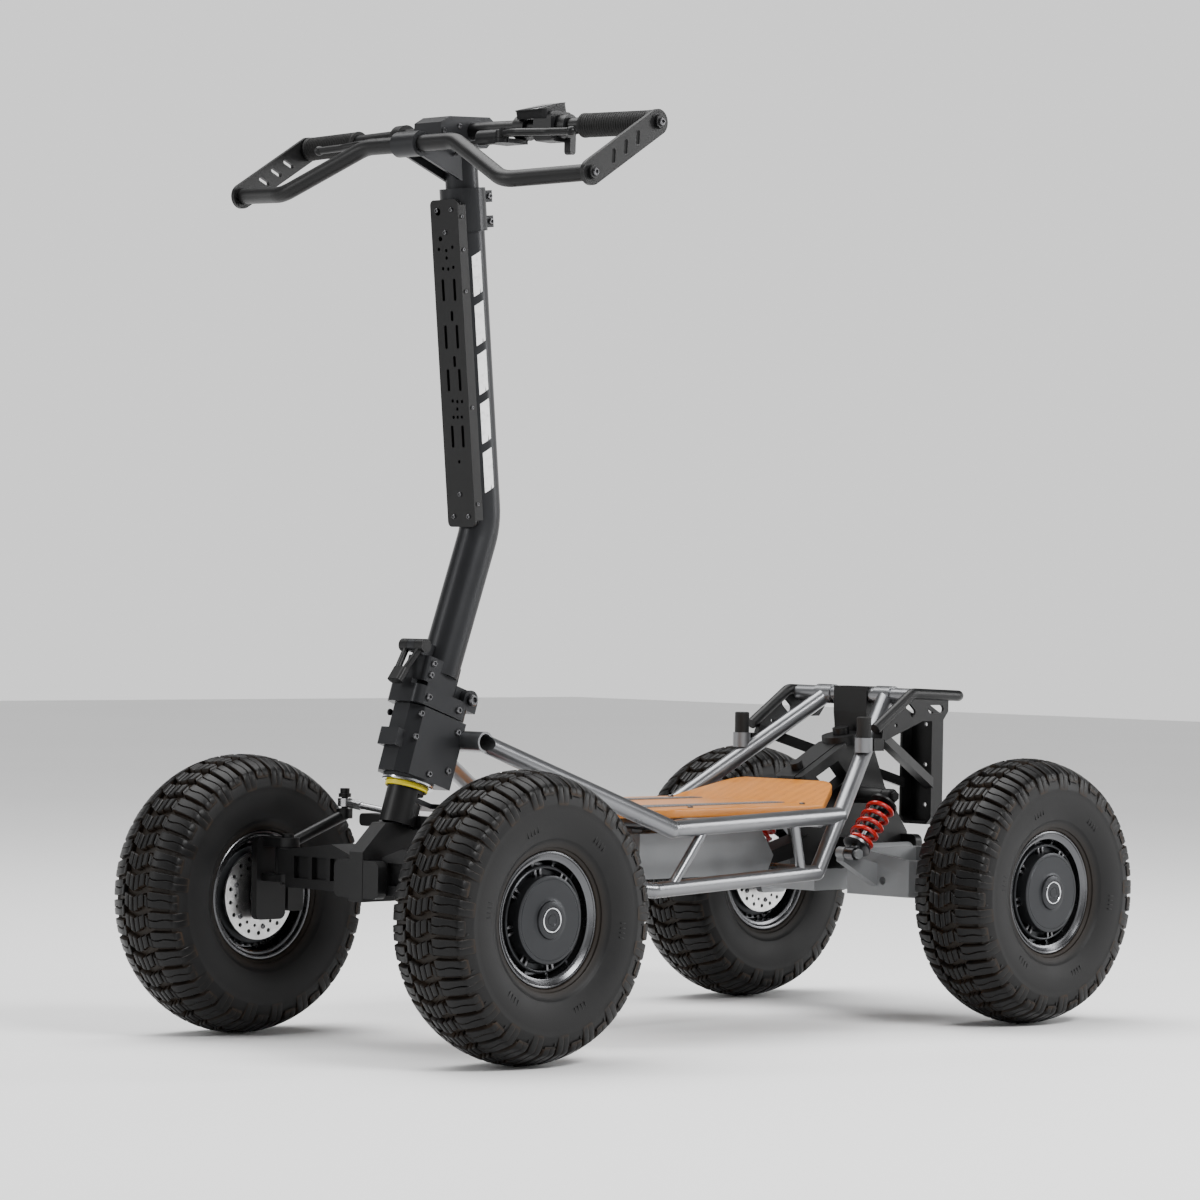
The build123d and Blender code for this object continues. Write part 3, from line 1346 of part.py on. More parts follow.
rack_y = 121.0
rack_radius = 8.0
rack_end_x = -547.0
channel_front = -584.0
with BuildPart() as rear_rack:
    with BuildLine() as rack_path:
        FilletPolyline(
            (-352, rack_y, 419),
            (-432, rack_y, 470),
            (rack_end_x, rack_y, 466),
            (rack_end_x, -rack_y, 466),
            (-432, -rack_y, 470),
            (-352, -rack_y, 419),
            radius=18,
        )
    with BuildSketch(Plane(origin=rack_path.line @ 0, z_dir=rack_path.line % 0)):
        Circle(rack_radius)
    sweep(path=rack_path.line)
    for side in (1, -1):
        with BuildSketch(Plane(origin=(0, side * (rack_y + 2), 0), x_dir=(1, 0, 0), z_dir=(0, -1, 0))):
            with BuildLine():
                Polyline(
                    (-358, 421),
                    (-372, 402),
                    (-455, 430),
                    (-500, 430),
                    (-512, 444),
                    (-512, 464),
                    (-434, 466),
                    close=True,
                )
            make_face()
            with Locations((-484, 447)):
                SlotOverall(34, 12, mode=Mode.SUBTRACT)
            with Locations((-428, 446)):
                SlotOverall(24, 12, rotation=40, mode=Mode.SUBTRACT)
            with Locations((-396, 424)):
                Circle(3, mode=Mode.SUBTRACT)
        extrude(amount=4 * side)
        # The foot that meets the post socket.
        with BuildSketch(Plane(origin=(-343.3, side * post_y, 397), z_dir=(-1, 0, 0), x_dir=(0, 1, 0))):
            Rectangle(16, 18)
        extrude(amount=22)
        # The brace down to the channel.
        brace_start = Vector(-362, side * 118, 412)
        brace_end = Vector(channel_front - 10, side * 24, 330)
        with BuildSketch(line_plane(brace_start, brace_end)):
            Rectangle(14, 14)
        extrude(amount=(brace_end - brace_start).length)
    # Clearance round the frame's rear tubes and in front of the channel.
    for side in (1, -1):
        tube_start = at_side(rear_rail_end, side)
        tube_end = Vector(rear_cross_x, side * 57, rear_cross_z)
        with BuildSketch(line_plane(tube_start, tube_end)):
            Circle(rail_radius + seat_gap)
        extrude(amount=(tube_end - tube_start).length, mode=Mode.SUBTRACT)
        with BuildSketch(Plane.XY.offset(post_base_z - 10)):
            with Locations((post_x, side * post_y)):
                Circle(13 + seat_gap)
        extrude(amount=70, mode=Mode.SUBTRACT)
    with BuildSketch(Plane(origin=(channel_front + seat_gap, 0, 330), z_dir=(-1, 0, 0))):
        Rectangle(120, 120)
    extrude(amount=30, mode=Mode.SUBTRACT)
save(rear_rack.part, "rear_rack")

with BuildPart() as channel:
    with BuildSketch(Plane(origin=(-610, 0, 0), z_dir=(1, 0, 0), x_dir=(0, 1, 0))):
        Polygon((-31, 436), (31, 436), (31, 282), (22, 272), (-22, 272), (-31, 282), align=None)
    extrude(amount=26)
    with BuildSketch(Plane(origin=(-606, 0, 0), z_dir=(1, 0, 0), x_dir=(0, 1, 0))):
        Polygon((-27, 440), (27, 440), (27, 284), (20, 276), (-20, 276), (-27, 284), align=None)
    extrude(amount=30, mode=Mode.SUBTRACT)
    with BuildSketch(Plane(origin=(-611, 0, 0), z_dir=(1, 0, 0), x_dir=(0, 1, 0))):
        with Locations((0, 300), (0, 360), (0, 420)):
            Circle(3.3)
    extrude(amount=10, mode=Mode.SUBTRACT)
    # The top tabs that hang the channel from the rack's rear bar.
    for side in (1, -1):
        with BuildSketch(Plane(origin=(0, side * 29, 0), x_dir=(1, 0, 0), z_dir=(0, -1, 0))):
            with BuildLine():
                Polyline((-606, 432), (-586, 404), (-586, 440), (-548, 456.5), (-558, 460.5), (-606, 436), close=True)
            make_face()
        extrude(amount=2, both=True)
save(channel.part, "rear_channel")
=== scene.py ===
"""Studio scene of a four-wheel off-road electric scooter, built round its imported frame.

Metres. X forward, Y to the rider's left, Z up, origin on the ground between the wheels.
"""

import math

import bmesh
import bpy
from mathutils import Matrix, Vector


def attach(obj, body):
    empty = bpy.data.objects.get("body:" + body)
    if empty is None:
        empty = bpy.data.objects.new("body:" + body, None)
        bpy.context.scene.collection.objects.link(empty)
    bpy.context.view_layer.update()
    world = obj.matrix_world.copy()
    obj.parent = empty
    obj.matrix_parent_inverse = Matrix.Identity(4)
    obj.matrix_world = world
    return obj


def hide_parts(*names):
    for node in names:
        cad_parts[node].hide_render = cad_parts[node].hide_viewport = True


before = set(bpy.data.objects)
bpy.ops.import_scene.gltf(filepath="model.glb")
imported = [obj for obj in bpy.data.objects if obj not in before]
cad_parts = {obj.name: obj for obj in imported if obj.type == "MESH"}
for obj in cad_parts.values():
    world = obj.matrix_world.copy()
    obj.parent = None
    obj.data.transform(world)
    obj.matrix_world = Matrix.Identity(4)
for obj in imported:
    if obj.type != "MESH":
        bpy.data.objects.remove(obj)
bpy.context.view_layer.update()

MM = 0.001
WHEEL_X = 0.507
WHEEL_Y = 0.275
WHEEL_Z = 0.1905
CORNERS = {
    "front_left": (WHEEL_X, 1),
    "front_right": (WHEEL_X, -1),
    "rear_left": (-WHEEL_X, 1),
    "rear_right": (-WHEEL_X, -1),
}
SIDES = (("left", 1), ("right", -1))


# ---- shader maths ---------------------------------------------------------------------------


class Sock:
    """A node output that Python's operators turn into Math nodes."""

    def __init__(self, finish, link):
        self.finish = finish
        self.link = link

    def math(self, operation, *values):
        return self.finish.make("ShaderNodeMath", {"operation": operation}, dict(enumerate(values)))

    def __add__(self, other):
        return self.math("ADD", self, other)

    __radd__ = __add__

    def __mul__(self, other):
        return self.math("MULTIPLY", self, other)

    __rmul__ = __mul__

    def __sub__(self, other):
        return self.math("SUBTRACT", self, other)

    def __rsub__(self, other):
        return self.math("SUBTRACT", other, self)

    def __truediv__(self, other):
        return self.math("DIVIDE", self, other)

    def __abs__(self):
        return self.math("ABSOLUTE", self)

    def __pow__(self, other):
        return self.math("POWER", self, other)

    def clamp(self):
        return self.math("MAXIMUM", self.math("MINIMUM", self, 1.0), 0.0)


class Finish:
    """One material, built from nodes."""

    def __init__(self, name):
        self.material = bpy.data.materials.new(name)
        self.material.use_nodes = True
        self.tree = self.material.node_tree
        self.shader = self.tree.nodes["Principled BSDF"]

    def make(self, kind, settings=None, values=None, out=0):
        node = self.tree.nodes.new(kind)
        for key, value in (settings or {}).items():
            setattr(node, key, value)
        for key, value in (values or {}).items():
            self.feed(node.inputs[key], value)
        return Sock(self, node.outputs[out])

    def feed(self, socket, value):
        if isinstance(value, Sock):
            self.tree.links.new(value.link, socket)
        else:
            socket.default_value = value

    def place(self, stretch=(1, 1, 1)):
        """Object coordinates, stretched."""
        spot = self.make("ShaderNodeTexCoord", out="Object")
        return self.make("ShaderNodeMapping", None, {"Vector": spot, "Scale": stretch})

    def split(self, vector):
        node = self.make("ShaderNodeSeparateXYZ", None, {0: vector}).link.node
        return [Sock(self, node.outputs[i]) for i in range(3)]

    def noise(self, scale, detail=3.0, rough=0.5, vector=None):
        return self.make(
            "ShaderNodeTexNoise",
            None,
            {"Vector": vector or self.place(), "Scale": scale, "Detail": detail, "Roughness": rough},
        )

    def stretch(self, value, low, high):
        """value's range low..high becomes 0..1, clamped."""
        return ((value - low) / (high - low)).clamp()

    def blend(self, factor, first, second):
        return self.make(
            "ShaderNodeMix",
            {"data_type": "RGBA", "clamp_factor": True},
            {0: factor, 6: rgba(first), 7: rgba(second)},
            out=2,
        )

    def bump(self, height, strength=0.3, distance=0.001):
        return self.make(
            "ShaderNodeBump", None, {"Height": height, "Strength": strength, "Distance": distance}
        )

    def set(self, **sockets):
        for key, value in sockets.items():
            name = key.replace("_", " ").title().replace("Ior", "IOR")
            self.feed(self.shader.inputs[name], rgba(value) if "color" in key else value)
        return self.material


def rgba(colour):
    if isinstance(colour, Sock):
        return colour
    return (*colour[:3], 1.0)


def wheel_radius(finish):
    """Distance from the nearest wheel's axle, in metres."""
    x, _, z = finish.split(finish.place())
    across = abs(x) - WHEEL_X
    up = z - WHEEL_Z
    return (across * across + up * up) ** 0.5


def coated(name, colour, rough, metal=0.0, grain=900.0, grain_depth=0.12, wear=0.12, coat=0.0, tint=None):
    """Powder coat or paint: fine orange-peel grain, cloudy roughness and faint handling marks."""
    f = Finish(name)
    cloud = f.noise(9.0, 4.0, 0.6)
    fine = f.noise(grain, 2.0, 0.5)
    marks = f.noise(60.0, 5.0, 0.7, f.place((1.0, 0.35, 1.0)))
    scuff = f.stretch(marks, 0.62, 0.78)
    pale = tint or [min(1.0, c * 1.6 + 0.004) for c in colour]
    base = f.blend(f.stretch(cloud, 0.3, 0.75) * 0.35, colour, pale)
    base = f.blend(scuff * wear, base, pale)
    roughness = rough + (cloud - 0.5) * 0.16 + scuff * 0.08
    return f.set(
        base_color=base,
        roughness=roughness.clamp(),
        metallic=metal,
        normal=f.bump(fine, grain_depth, 0.0002),
        coat_weight=coat,
        coat_roughness=0.16,
        specular_ior_level=0.24,
    )


def make_finishes():
    looks = {}

    f = Finish("tyre_sidewall")
    radius = wheel_radius(f)
    cloud = f.noise(14.0, 5.0, 0.6)
    speck = f.noise(420.0, 3.0, 0.6)
    dust = f.stretch(cloud, 0.35, 0.8) * 0.5
    low = f.stretch(radius, 0.102, 0.088) + f.stretch(radius, 0.158, 0.176)
    base = f.blend(dust, (0.0052, 0.0052, 0.0055), (0.0125, 0.012, 0.0115))
    base = f.blend((low * (0.3 + cloud * 0.7)).clamp() * 0.75, base, (0.026, 0.017, 0.010))
    looks["sidewall"] = f.set(
        base_color=base,
        roughness=(0.52 + (cloud - 0.5) * 0.25).clamp(),
        normal=f.bump(speck + cloud * 2.0, 0.16, 0.0005),
        specular_ior_level=0.2,
    )

    f = Finish("tyre_tread")
    edge = f.make("ShaderNodeAttribute", {"attribute_name": "dust"}, out="Fac")
    cloud = f.noise(38.0, 4.0, 0.6)
    speck = f.noise(500.0, 3.0, 0.6)
    amount = (f.stretch(edge, 0.3, 1.0) * (0.1 + f.stretch(cloud, 0.35, 0.75))).clamp()
    base = f.blend(f.stretch(speck, 0.3, 0.8) * 0.6, (0.0028, 0.0028, 0.003), (0.0065, 0.0062, 0.006))
    base = f.blend(amount * 0.85, base, (0.040, 0.024, 0.013))
    looks["tread"] = f.set(
        base_color=base,
        roughness=(0.42 + amount * 0.35 + (speck - 0.5) * 0.12).clamp(),
        normal=f.bump(speck, 0.18, 0.0004),
        specular_ior_level=0.2,
    )

    looks["frame"] = coated("frame_gunmetal", (0.165, 0.168, 0.175), 0.30, 0.85, 1400.0, 0.04, 0.05, 0.3)
    looks["stem"] = coated("stem_dark_grey", (0.017, 0.0175, 0.019), 0.36, 0.45, 1100.0, 0.1, 0.06)
    looks["black"] = coated("black_powder_coat", (0.0036, 0.0036, 0.0038), 0.40, 0.0, 1000.0, 0.16, 0.12)
    looks["rim"] = coated("rim_black", (0.085, 0.086, 0.09), 0.26, 0.95, 1300.0, 0.1, 0.25)
    looks["cover"] = coated("motor_cover", (0.026, 0.027, 0.029), 0.36, 0.75, 1500.0, 0.16, 0.3)
    looks["cast"] = coated("cast_grey", (0.20, 0.205, 0.21), 0.48, 0.55, 500.0, 0.3, 0.3)
    looks["battery"] = coated("battery_grey", (0.16, 0.165, 0.17), 0.44, 0.5, 800.0, 0.2, 0.3)
    looks["spring"] = coated(
        "spring_red", (0.36, 0.005, 0.004), 0.28, 0.0, 900.0, 0.05, 0.1, 0.5, (0.46, 0.02, 0.014)
    )
    looks["plastic"] = coated("moulded_plastic", (0.0045, 0.0045, 0.005), 0.42, 0.0, 1800.0, 0.35, 0.1)
    looks["yellow"] = coated("yellow_bush", (0.62, 0.50, 0.02), 0.42, 0.0, 700.0, 0.1, 0.2)

    for name, colour, rough in (
        ("steel", (0.52, 0.52, 0.53), 0.27),
        ("dark_steel", (0.13, 0.13, 0.135), 0.33),
        ("bright_edge", (0.62, 0.63, 0.65), 0.2),
    ):
        f = Finish(name + "_metal")
        streak = f.noise(260.0, 3.0, 0.6, f.place((1.0, 0.06, 1.0)))
        cloud = f.noise(30.0, 4.0, 0.6)
        base = f.blend(f.stretch(cloud, 0.35, 0.75) * 0.4, colour, [c * 0.62 for c in colour])
        looks[name] = f.set(
            base_color=base,
            roughness=(rough + (streak - 0.5) * 0.2).clamp(),
            metallic=1.0,
            normal=f.bump(streak, 0.06, 0.0002),
        )

    f = Finish("brake_rotor_steel")
    radius = wheel_radius(f)
    ring = f.make("ShaderNodeMath", {"operation": "SINE"}, {0: radius * 6200.0})
    cloud = f.noise(45.0, 4.0, 0.6)
    base = f.blend(f.stretch(cloud, 0.35, 0.75) * 0.5, (0.58, 0.58, 0.58), (0.36, 0.35, 0.34))
    looks["rotor"] = f.set(
        base_color=base,
        roughness=(0.26 + ring * 0.05 + cloud * 0.12).clamp(),
        metallic=1.0,
        normal=f.bump(ring, 0.08, 0.0002),
    )

    f = Finish("deck_wood")
    spot = f.place((1.0, 9.0, 9.0))
    wobble = f.noise(3.2, 3.0, 0.5, f.place((0.7, 2.4, 1.0)))
    _, across, _ = f.split(f.place())
    rings = f.make("ShaderNodeMath", {"operation": "SINE"}, {0: across * 330.0 + wobble * 26.0})
    grain = f.noise(42.0, 6.0, 0.65, spot)
    pores = f.noise(260.0, 3.0, 0.6, f.place((0.05, 1.0, 1.0)))
    base = f.blend((rings * 0.5 + 0.5) * 0.55, (0.47, 0.165, 0.016), (0.31, 0.092, 0.008))
    base = f.blend(f.stretch(grain, 0.35, 0.8) * 0.55, base, (0.56, 0.225, 0.032))
    base = f.blend(f.stretch(pores, 0.56, 0.72) * 0.5, base, (0.14, 0.038, 0.006))
    looks["wood"] = f.set(
        base_color=base,
        roughness=(0.36 + (grain - 0.5) * 0.2).clamp(),
        normal=f.bump(grain * 0.6 + pores * 0.4, 0.2, 0.0004),
        coat_weight=0.12,
        coat_roughness=0.25,
        specular_ior_level=0.3,
    )

    f = Finish("grip_strip")
    grit = f.make("ShaderNodeTexVoronoi", {"feature": "F1"}, {"Vector": f.place(), "Scale": 900.0})
    cloud = f.noise(25.0, 4.0, 0.6)
    base = f.blend(f.stretch(grit, 0.15, 0.6), (0.24, 0.24, 0.245), (0.085, 0.085, 0.088))
    base = f.blend(f.stretch(cloud, 0.45, 0.8) * 0.4, base, (0.16, 0.14, 0.12))
    looks["grit"] = f.set(
        base_color=base, roughness=0.82, normal=f.bump(grit, 0.7, 0.0006), specular_ior_level=0.2
    )

    for name, colour, rough, scale in (
        ("rubber", (0.005, 0.005, 0.005), 0.6, 700.0),
        ("hose", (0.004, 0.004, 0.0042), 0.4, 1200.0),
    ):
        f = Finish(name + "_black")
        fine = f.noise(scale, 3.0, 0.6)
        cloud = f.noise(22.0, 4.0, 0.6)
        base = f.blend(f.stretch(cloud, 0.4, 0.8) * 0.6, colour, (0.012, 0.0115, 0.011))
        looks[name] = f.set(
            base_color=base,
            roughness=(rough + (cloud - 0.5) * 0.2).clamp(),
            normal=f.bump(fine, 0.35, 0.0003),
            specular_ior_level=0.26,
        )

    f = Finish("pale_stripe")
    scuff = f.noise(120.0, 5.0, 0.7)
    looks["stripe"] = f.set(
        base_color=f.blend(f.stretch(scuff, 0.5, 0.75), (0.78, 0.78, 0.78), (0.52, 0.52, 0.52)),
        roughness=(0.4 + (scuff - 0.5) * 0.2).clamp(),
        normal=f.bump(scuff, 0.05, 0.0002),
    )

    f = Finish("display_glass")
    smear = f.noise(40.0, 4.0, 0.6)
    looks["glass"] = f.set(
        base_color=f.blend(smear, (0.006, 0.007, 0.009), (0.013, 0.014, 0.017)),
        roughness=(0.08 + smear * 0.1).clamp(),
        coat_weight=0.6,
        coat_roughness=0.04,
    )
    return looks


LOOK = make_finishes()


# ---- mesh tools -----------------------------------------------------------------------------


def mesh_of(name, points, faces, smooth=True, dust=None):
    """A mesh object at the origin, with doubles merged and faces pointing outwards."""
    data = bpy.data.meshes.new(name)
    data.from_pydata([tuple(p) for p in points], [], faces)
    if dust is not None:
        layer = data.attributes.new("dust", "FLOAT", "POINT")
        layer.data.foreach_set("value", dust)
    work = bmesh.new()
    work.from_mesh(data)
    bmesh.ops.remove_doubles(work, verts=work.verts, dist=1e-6)
    bmesh.ops.recalc_face_normals(work, faces=work.faces)
    for face in work.faces:
        face.smooth = smooth
    work.to_mesh(data)
    work.free()
    made = bpy.data.objects.new(name, data)
    bpy.context.scene.collection.objects.link(made)
    return made


def sharpen(made, angle=32):
    """Splits shading at edges sharper than angle, in degrees."""
    data = made.data
    work = bmesh.new()
    work.from_mesh(data)
    for edge in work.edges:
        if len(edge.link_faces) == 2 and edge.calc_face_angle(0) > math.radians(angle):
            edge.smooth = False
    work.to_mesh(data)
    work.free()
    return made


def finish_piece(made, look, body, replaced=(), angle=32):
    if look:
        made.data.materials.clear()
        made.data.materials.append(LOOK[look])
    if angle:
        sharpen(made, angle)
    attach(made, body)
    if replaced:
        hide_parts(*replaced)
    return made


def lathe(profile, steps, closed=True):
    """Points and faces of profile [(out, radius)], turned about the Y axis."""
    points = []
    for i in range(steps):
        turn = 2 * math.pi * i / steps
        for out, radius in profile:
            points.append((radius * math.cos(turn) * MM, out * MM, radius * math.sin(turn) * MM))
    count = len(profile)
    faces = []
    spans = count if closed else count - 1
    for i in range(steps):
        j = (i + 1) % steps
        for k in range(spans):
            m = (k + 1) % count
            faces.append((i * count + k, i * count + m, j * count + m, j * count + k))
    return points, faces


def shift(points, centre, side=1):
    """Points of a wheel-local shape put at centre, with out pointing to side."""
    return [(centre[0] + x, centre[1] + side * y, centre[2] + z) for x, y, z in points]


def box_of(lo, hi, bevel=0.0):
    """Points and faces of a box, in millimetres, with chamfered corners where bevel is given."""
    work = bmesh.new()
    bmesh.ops.create_cube(work, size=1.0)
    for v in work.verts:
        for axis in range(3):
            v.co[axis] = (lo[axis] + (v.co[axis] + 0.5) * (hi[axis] - lo[axis])) * MM
    if bevel:
        bmesh.ops.bevel(work, geom=work.edges[:], offset=bevel * MM, segments=2, affect="EDGES", profile=0.5)
    work.verts.index_update()
    points = [tuple(v.co) for v in work.verts]
    faces = [tuple(v.index for v in face.verts) for face in work.faces]
    work.free()
    return points, faces


def joined(parts):
    points = []
    faces = []
    for more_points, more_faces in parts:
        start = len(points)
        points += more_points
        faces += [tuple(start + i for i in face) for face in more_faces]
    return points, faces


def moved(part, matrix):
    points, faces = part
    return [tuple(matrix @ Vector(p)) for p in points], faces


def turned(part, angles):
    """Copies of a part, each turned about the Y axis by an angle in degrees."""
    return joined([moved(part, Matrix.Rotation(math.radians(a), 4, "Y")) for a in angles])


def mirrored(part, side):
    """A part with Y pointing to side."""
    points, faces = part
    return [(x, side * y, z) for x, y, z in points], faces


def loft(sections):
    """Skins loops of equal length, closing both ends."""
    count = len(sections[0])
    points = [p for section in sections for p in section]
    faces = []
    for i in range(len(sections) - 1):
        for k in range(count):
            m = (k + 1) % count
            faces.append((i * count + k, i * count + m, (i + 1) * count + m, (i + 1) * count + k))
    faces.append(tuple(range(count)))
    last = (len(sections) - 1) * count
    faces.append(tuple(last + k for k in reversed(range(count))))
    return points, faces


def facing(direction, up=(0, 0, 1)):
    """Rotation whose Z axis is direction."""
    z = Vector(direction).normalized()
    x = Vector(up).cross(z)
    if x.length < 1e-4:
        x = Vector((1, 0, 0)).cross(z)
    x.normalize()
    y = z.cross(x)
    return Matrix((x, y, z)).transposed().to_4x4()


# ---- Geometry Nodes tools -------------------------------------------------------------------


def new_tree(name, inputs):
    tree = bpy.data.node_groups.new(name, "GeometryNodeTree")
    for label, kind in inputs:
        tree.interface.new_socket(label, in_out="INPUT", socket_type=kind)
    tree.interface.new_socket("Geometry", in_out="OUTPUT", socket_type="NodeSocketGeometry")
    return tree


def wire(tree, kind, settings=None, **links):
    node = tree.nodes.new(kind)
    for key, value in (settings or {}).items():
        setattr(node, key, value)
    for key, value in links.items():
        socket = node.inputs[int(key[1:])] if key[0] == "i" and key[1:].isdigit() else node.inputs[key]
        if isinstance(value, bpy.types.NodeSocket):
            tree.links.new(value, socket)
        else:
            socket.default_value = value
    return node


def ring_tree():
    """Copies of a unit turned evenly about the Y axis, then moved to a centre."""
    tree = new_tree(
        "ring_of_units",
        [
            ("Geometry", "NodeSocketGeometry"),
            ("Count", "NodeSocketInt"),
            ("Start", "NodeSocketFloat"),
            ("Centre", "NodeSocketVector"),
            ("Finish", "NodeSocketMaterial"),
        ],
    )
    given = wire(tree, "NodeGroupInput").outputs
    dots = wire(tree, "GeometryNodePoints", Count=given["Count"])
    index = wire(tree, "GeometryNodeInputIndex")
    share = wire(tree, "ShaderNodeMath", {"operation": "DIVIDE"}, i0=index.outputs[0], i1=given["Count"])
    turn = wire(
        tree,
        "ShaderNodeMath",
        {"operation": "MULTIPLY_ADD"},
        i0=share.outputs[0],
        i1=2 * math.pi,
        i2=given["Start"],
    )
    angles = wire(tree, "ShaderNodeCombineXYZ", Y=turn.outputs[0])
    copies = wire(
        tree,
        "GeometryNodeInstanceOnPoints",
        Points=dots.outputs[0],
        Instance=given["Geometry"],
        Rotation=angles.outputs[0],
    )
    solid = wire(tree, "GeometryNodeRealizeInstances", Geometry=copies.outputs[0])
    put = wire(tree, "GeometryNodeTransform", Geometry=solid.outputs[0], Translation=given["Centre"])
    painted = wire(tree, "GeometryNodeSetMaterial", Geometry=put.outputs[0], Material=given["Finish"])
    wire(tree, "NodeGroupOutput", Geometry=painted.outputs[0])
    return tree


def spots_tree():
    """Copies of a unit on points, each turned by the point's own angles."""
    tree = new_tree(
        "units_on_spots",
        [
            ("Geometry", "NodeSocketGeometry"),
            ("Unit", "NodeSocketObject"),
            ("Size", "NodeSocketFloat"),
            ("Finish", "NodeSocketMaterial"),
        ],
    )
    given = wire(tree, "NodeGroupInput").outputs
    unit = wire(tree, "GeometryNodeObjectInfo", Object=given["Unit"])
    angles = wire(tree, "GeometryNodeInputNamedAttribute", {"data_type": "FLOAT_VECTOR"}, Name="turn")
    sizes = wire(tree, "GeometryNodeInputNamedAttribute", {"data_type": "FLOAT"}, Name="size")
    scale = wire(tree, "ShaderNodeMath", {"operation": "MULTIPLY"}, i0=sizes.outputs[0], i1=given["Size"])
    copies = wire(
        tree,
        "GeometryNodeInstanceOnPoints",
        Points=given["Geometry"],
        Instance=unit.outputs["Geometry"],
        Rotation=angles.outputs[0],
        Scale=scale.outputs[0],
    )
    solid = wire(tree, "GeometryNodeRealizeInstances", Geometry=copies.outputs[0])
    painted = wire(tree, "GeometryNodeSetMaterial", Geometry=solid.outputs[0], Material=given["Finish"])
    wire(tree, "NodeGroupOutput", Geometry=painted.outputs[0])
    return tree


RING = ring_tree()
SPOTS = spots_tree()


def grown(source, tree, name, **inputs):
    """The plain mesh that tree makes of source, which is then removed."""
    modifier = source.modifiers.new("grow", "NODES")
    modifier.node_group = tree
    for item in tree.interface.items_tree:
        if item.in_out == "INPUT" and item.name in inputs:
            modifier[item.identifier] = inputs[item.name]
    source.update_tag()
    graph = bpy.context.evaluated_depsgraph_get()
    graph.update()
    data = bpy.data.meshes.new_from_object(source.evaluated_get(graph))
    data.name = name
    bpy.data.objects.remove(source)
    made = bpy.data.objects.new(name, data)
    bpy.context.scene.collection.objects.link(made)
    return made


def ring(name, part, count, centre, look, start=0.0, dust=None, angle=32):
    unit = mesh_of(name + "_unit", *part, dust=dust)
    if angle:
        sharpen(unit, angle)
    return grown(unit, RING, name, Count=count, Start=start, Centre=centre, Finish=LOOK[look])


def screw_unit(name, radius, height):
    """A cap screw standing on the ground plane: rounded head with a round socket."""
    floor = height - 0.4 * radius
    profile = [
        (0, 0.01),
        (0, radius),
        (height - 0.25 * radius, radius),
        (height, radius * 0.8),
        (height, radius * 0.55),
        (floor, radius * 0.52),
        (floor, 0.01),
    ]
    points, faces = lathe(profile, 12, closed=False)
    points = [(x, -z, y) for x, y, z in points]
    return mesh_of(name, points, faces)


def on_spots(name, unit, spots, look, body, size=1.0):
    """spots: (point in mm, direction, scale)."""
    data = bpy.data.meshes.new(name + "_spots")
    data.from_pydata([tuple(c * MM for c in point) for point, _, _ in spots], [], [])
    turns = [angle for _, direction, _ in spots for angle in facing(direction).to_euler()]
    data.attributes.new("turn", "FLOAT_VECTOR", "POINT").data.foreach_set("vector", turns)
    sizes = [scale for _, _, scale in spots]
    data.attributes.new("size", "FLOAT", "POINT").data.foreach_set("value", sizes)
    source = bpy.data.objects.new(name + "_spots", data)
    bpy.context.scene.collection.objects.link(source)
    made = grown(source, SPOTS, name, Unit=unit, Size=size, Finish=LOOK[look])
    return finish_piece(made, None, body)


# ---- tyres ----------------------------------------------------------------------------------

TREAD_PITCHES = 42
CROWN_R = 190.4
CROWN_ARC = 106.6
SHOULDER = [(60.2, 171.0), (62.0, 165.5), (63.3, 158.5), (64.0, 151.5)]


def crown(y):
    return CROWN_R - CROWN_ARC + math.sqrt(CROWN_ARC**2 - y * y)


def tread_path(start, stop, side, long_shoulder=False):
    """[(out, radius, depth)] along the tread's surface, from out=start to out=stop."""
    count = 6
    path = []
    for i in range(count + 1):
        y = start + (stop - start) * i / count
        path.append((side * y, crown(y), 9.0))
    if stop > 55:
        steps = SHOULDER if long_shoulder else SHOULDER[:2]
        for k, (y, radius) in enumerate(steps):
            fade = 1 - (k + 1) / len(steps)
            path.append((side * y, radius, 2.0 + 4.5 * fade))
    return path


def slab(path, left, right, drop=0.0, bevel=0.9):
    """A tread block along path between the curves left and right, in mm round the tyre."""
    sections = []
    dust = []
    total = len(path) - 1
    for k, (y, radius, depth) in enumerate(path):
        t = k / total
        a = left(t)
        b = right(t)
        end = k in (0, total)
        top = radius - drop - (bevel if end else 0)
        foot = radius - depth
        loop = [
            (a - 0.8, foot, 0.9),
            (a, top - bevel, 0.55),
            (a + bevel, top, 0.12),
            (b - bevel, top, 0.12),
            (b, top - bevel, 0.55),
            (b + 0.8, foot, 0.9),
        ]
        section = []
        for along, r, grime in loop:
            angle = along / CROWN_R
            section.append((r * math.sin(angle) * MM, y * MM, r * math.cos(angle) * MM))
            dust.append(min(1.0, grime + (0.35 if end else 0)))
        sections.append(section)
    return loft(sections), dust


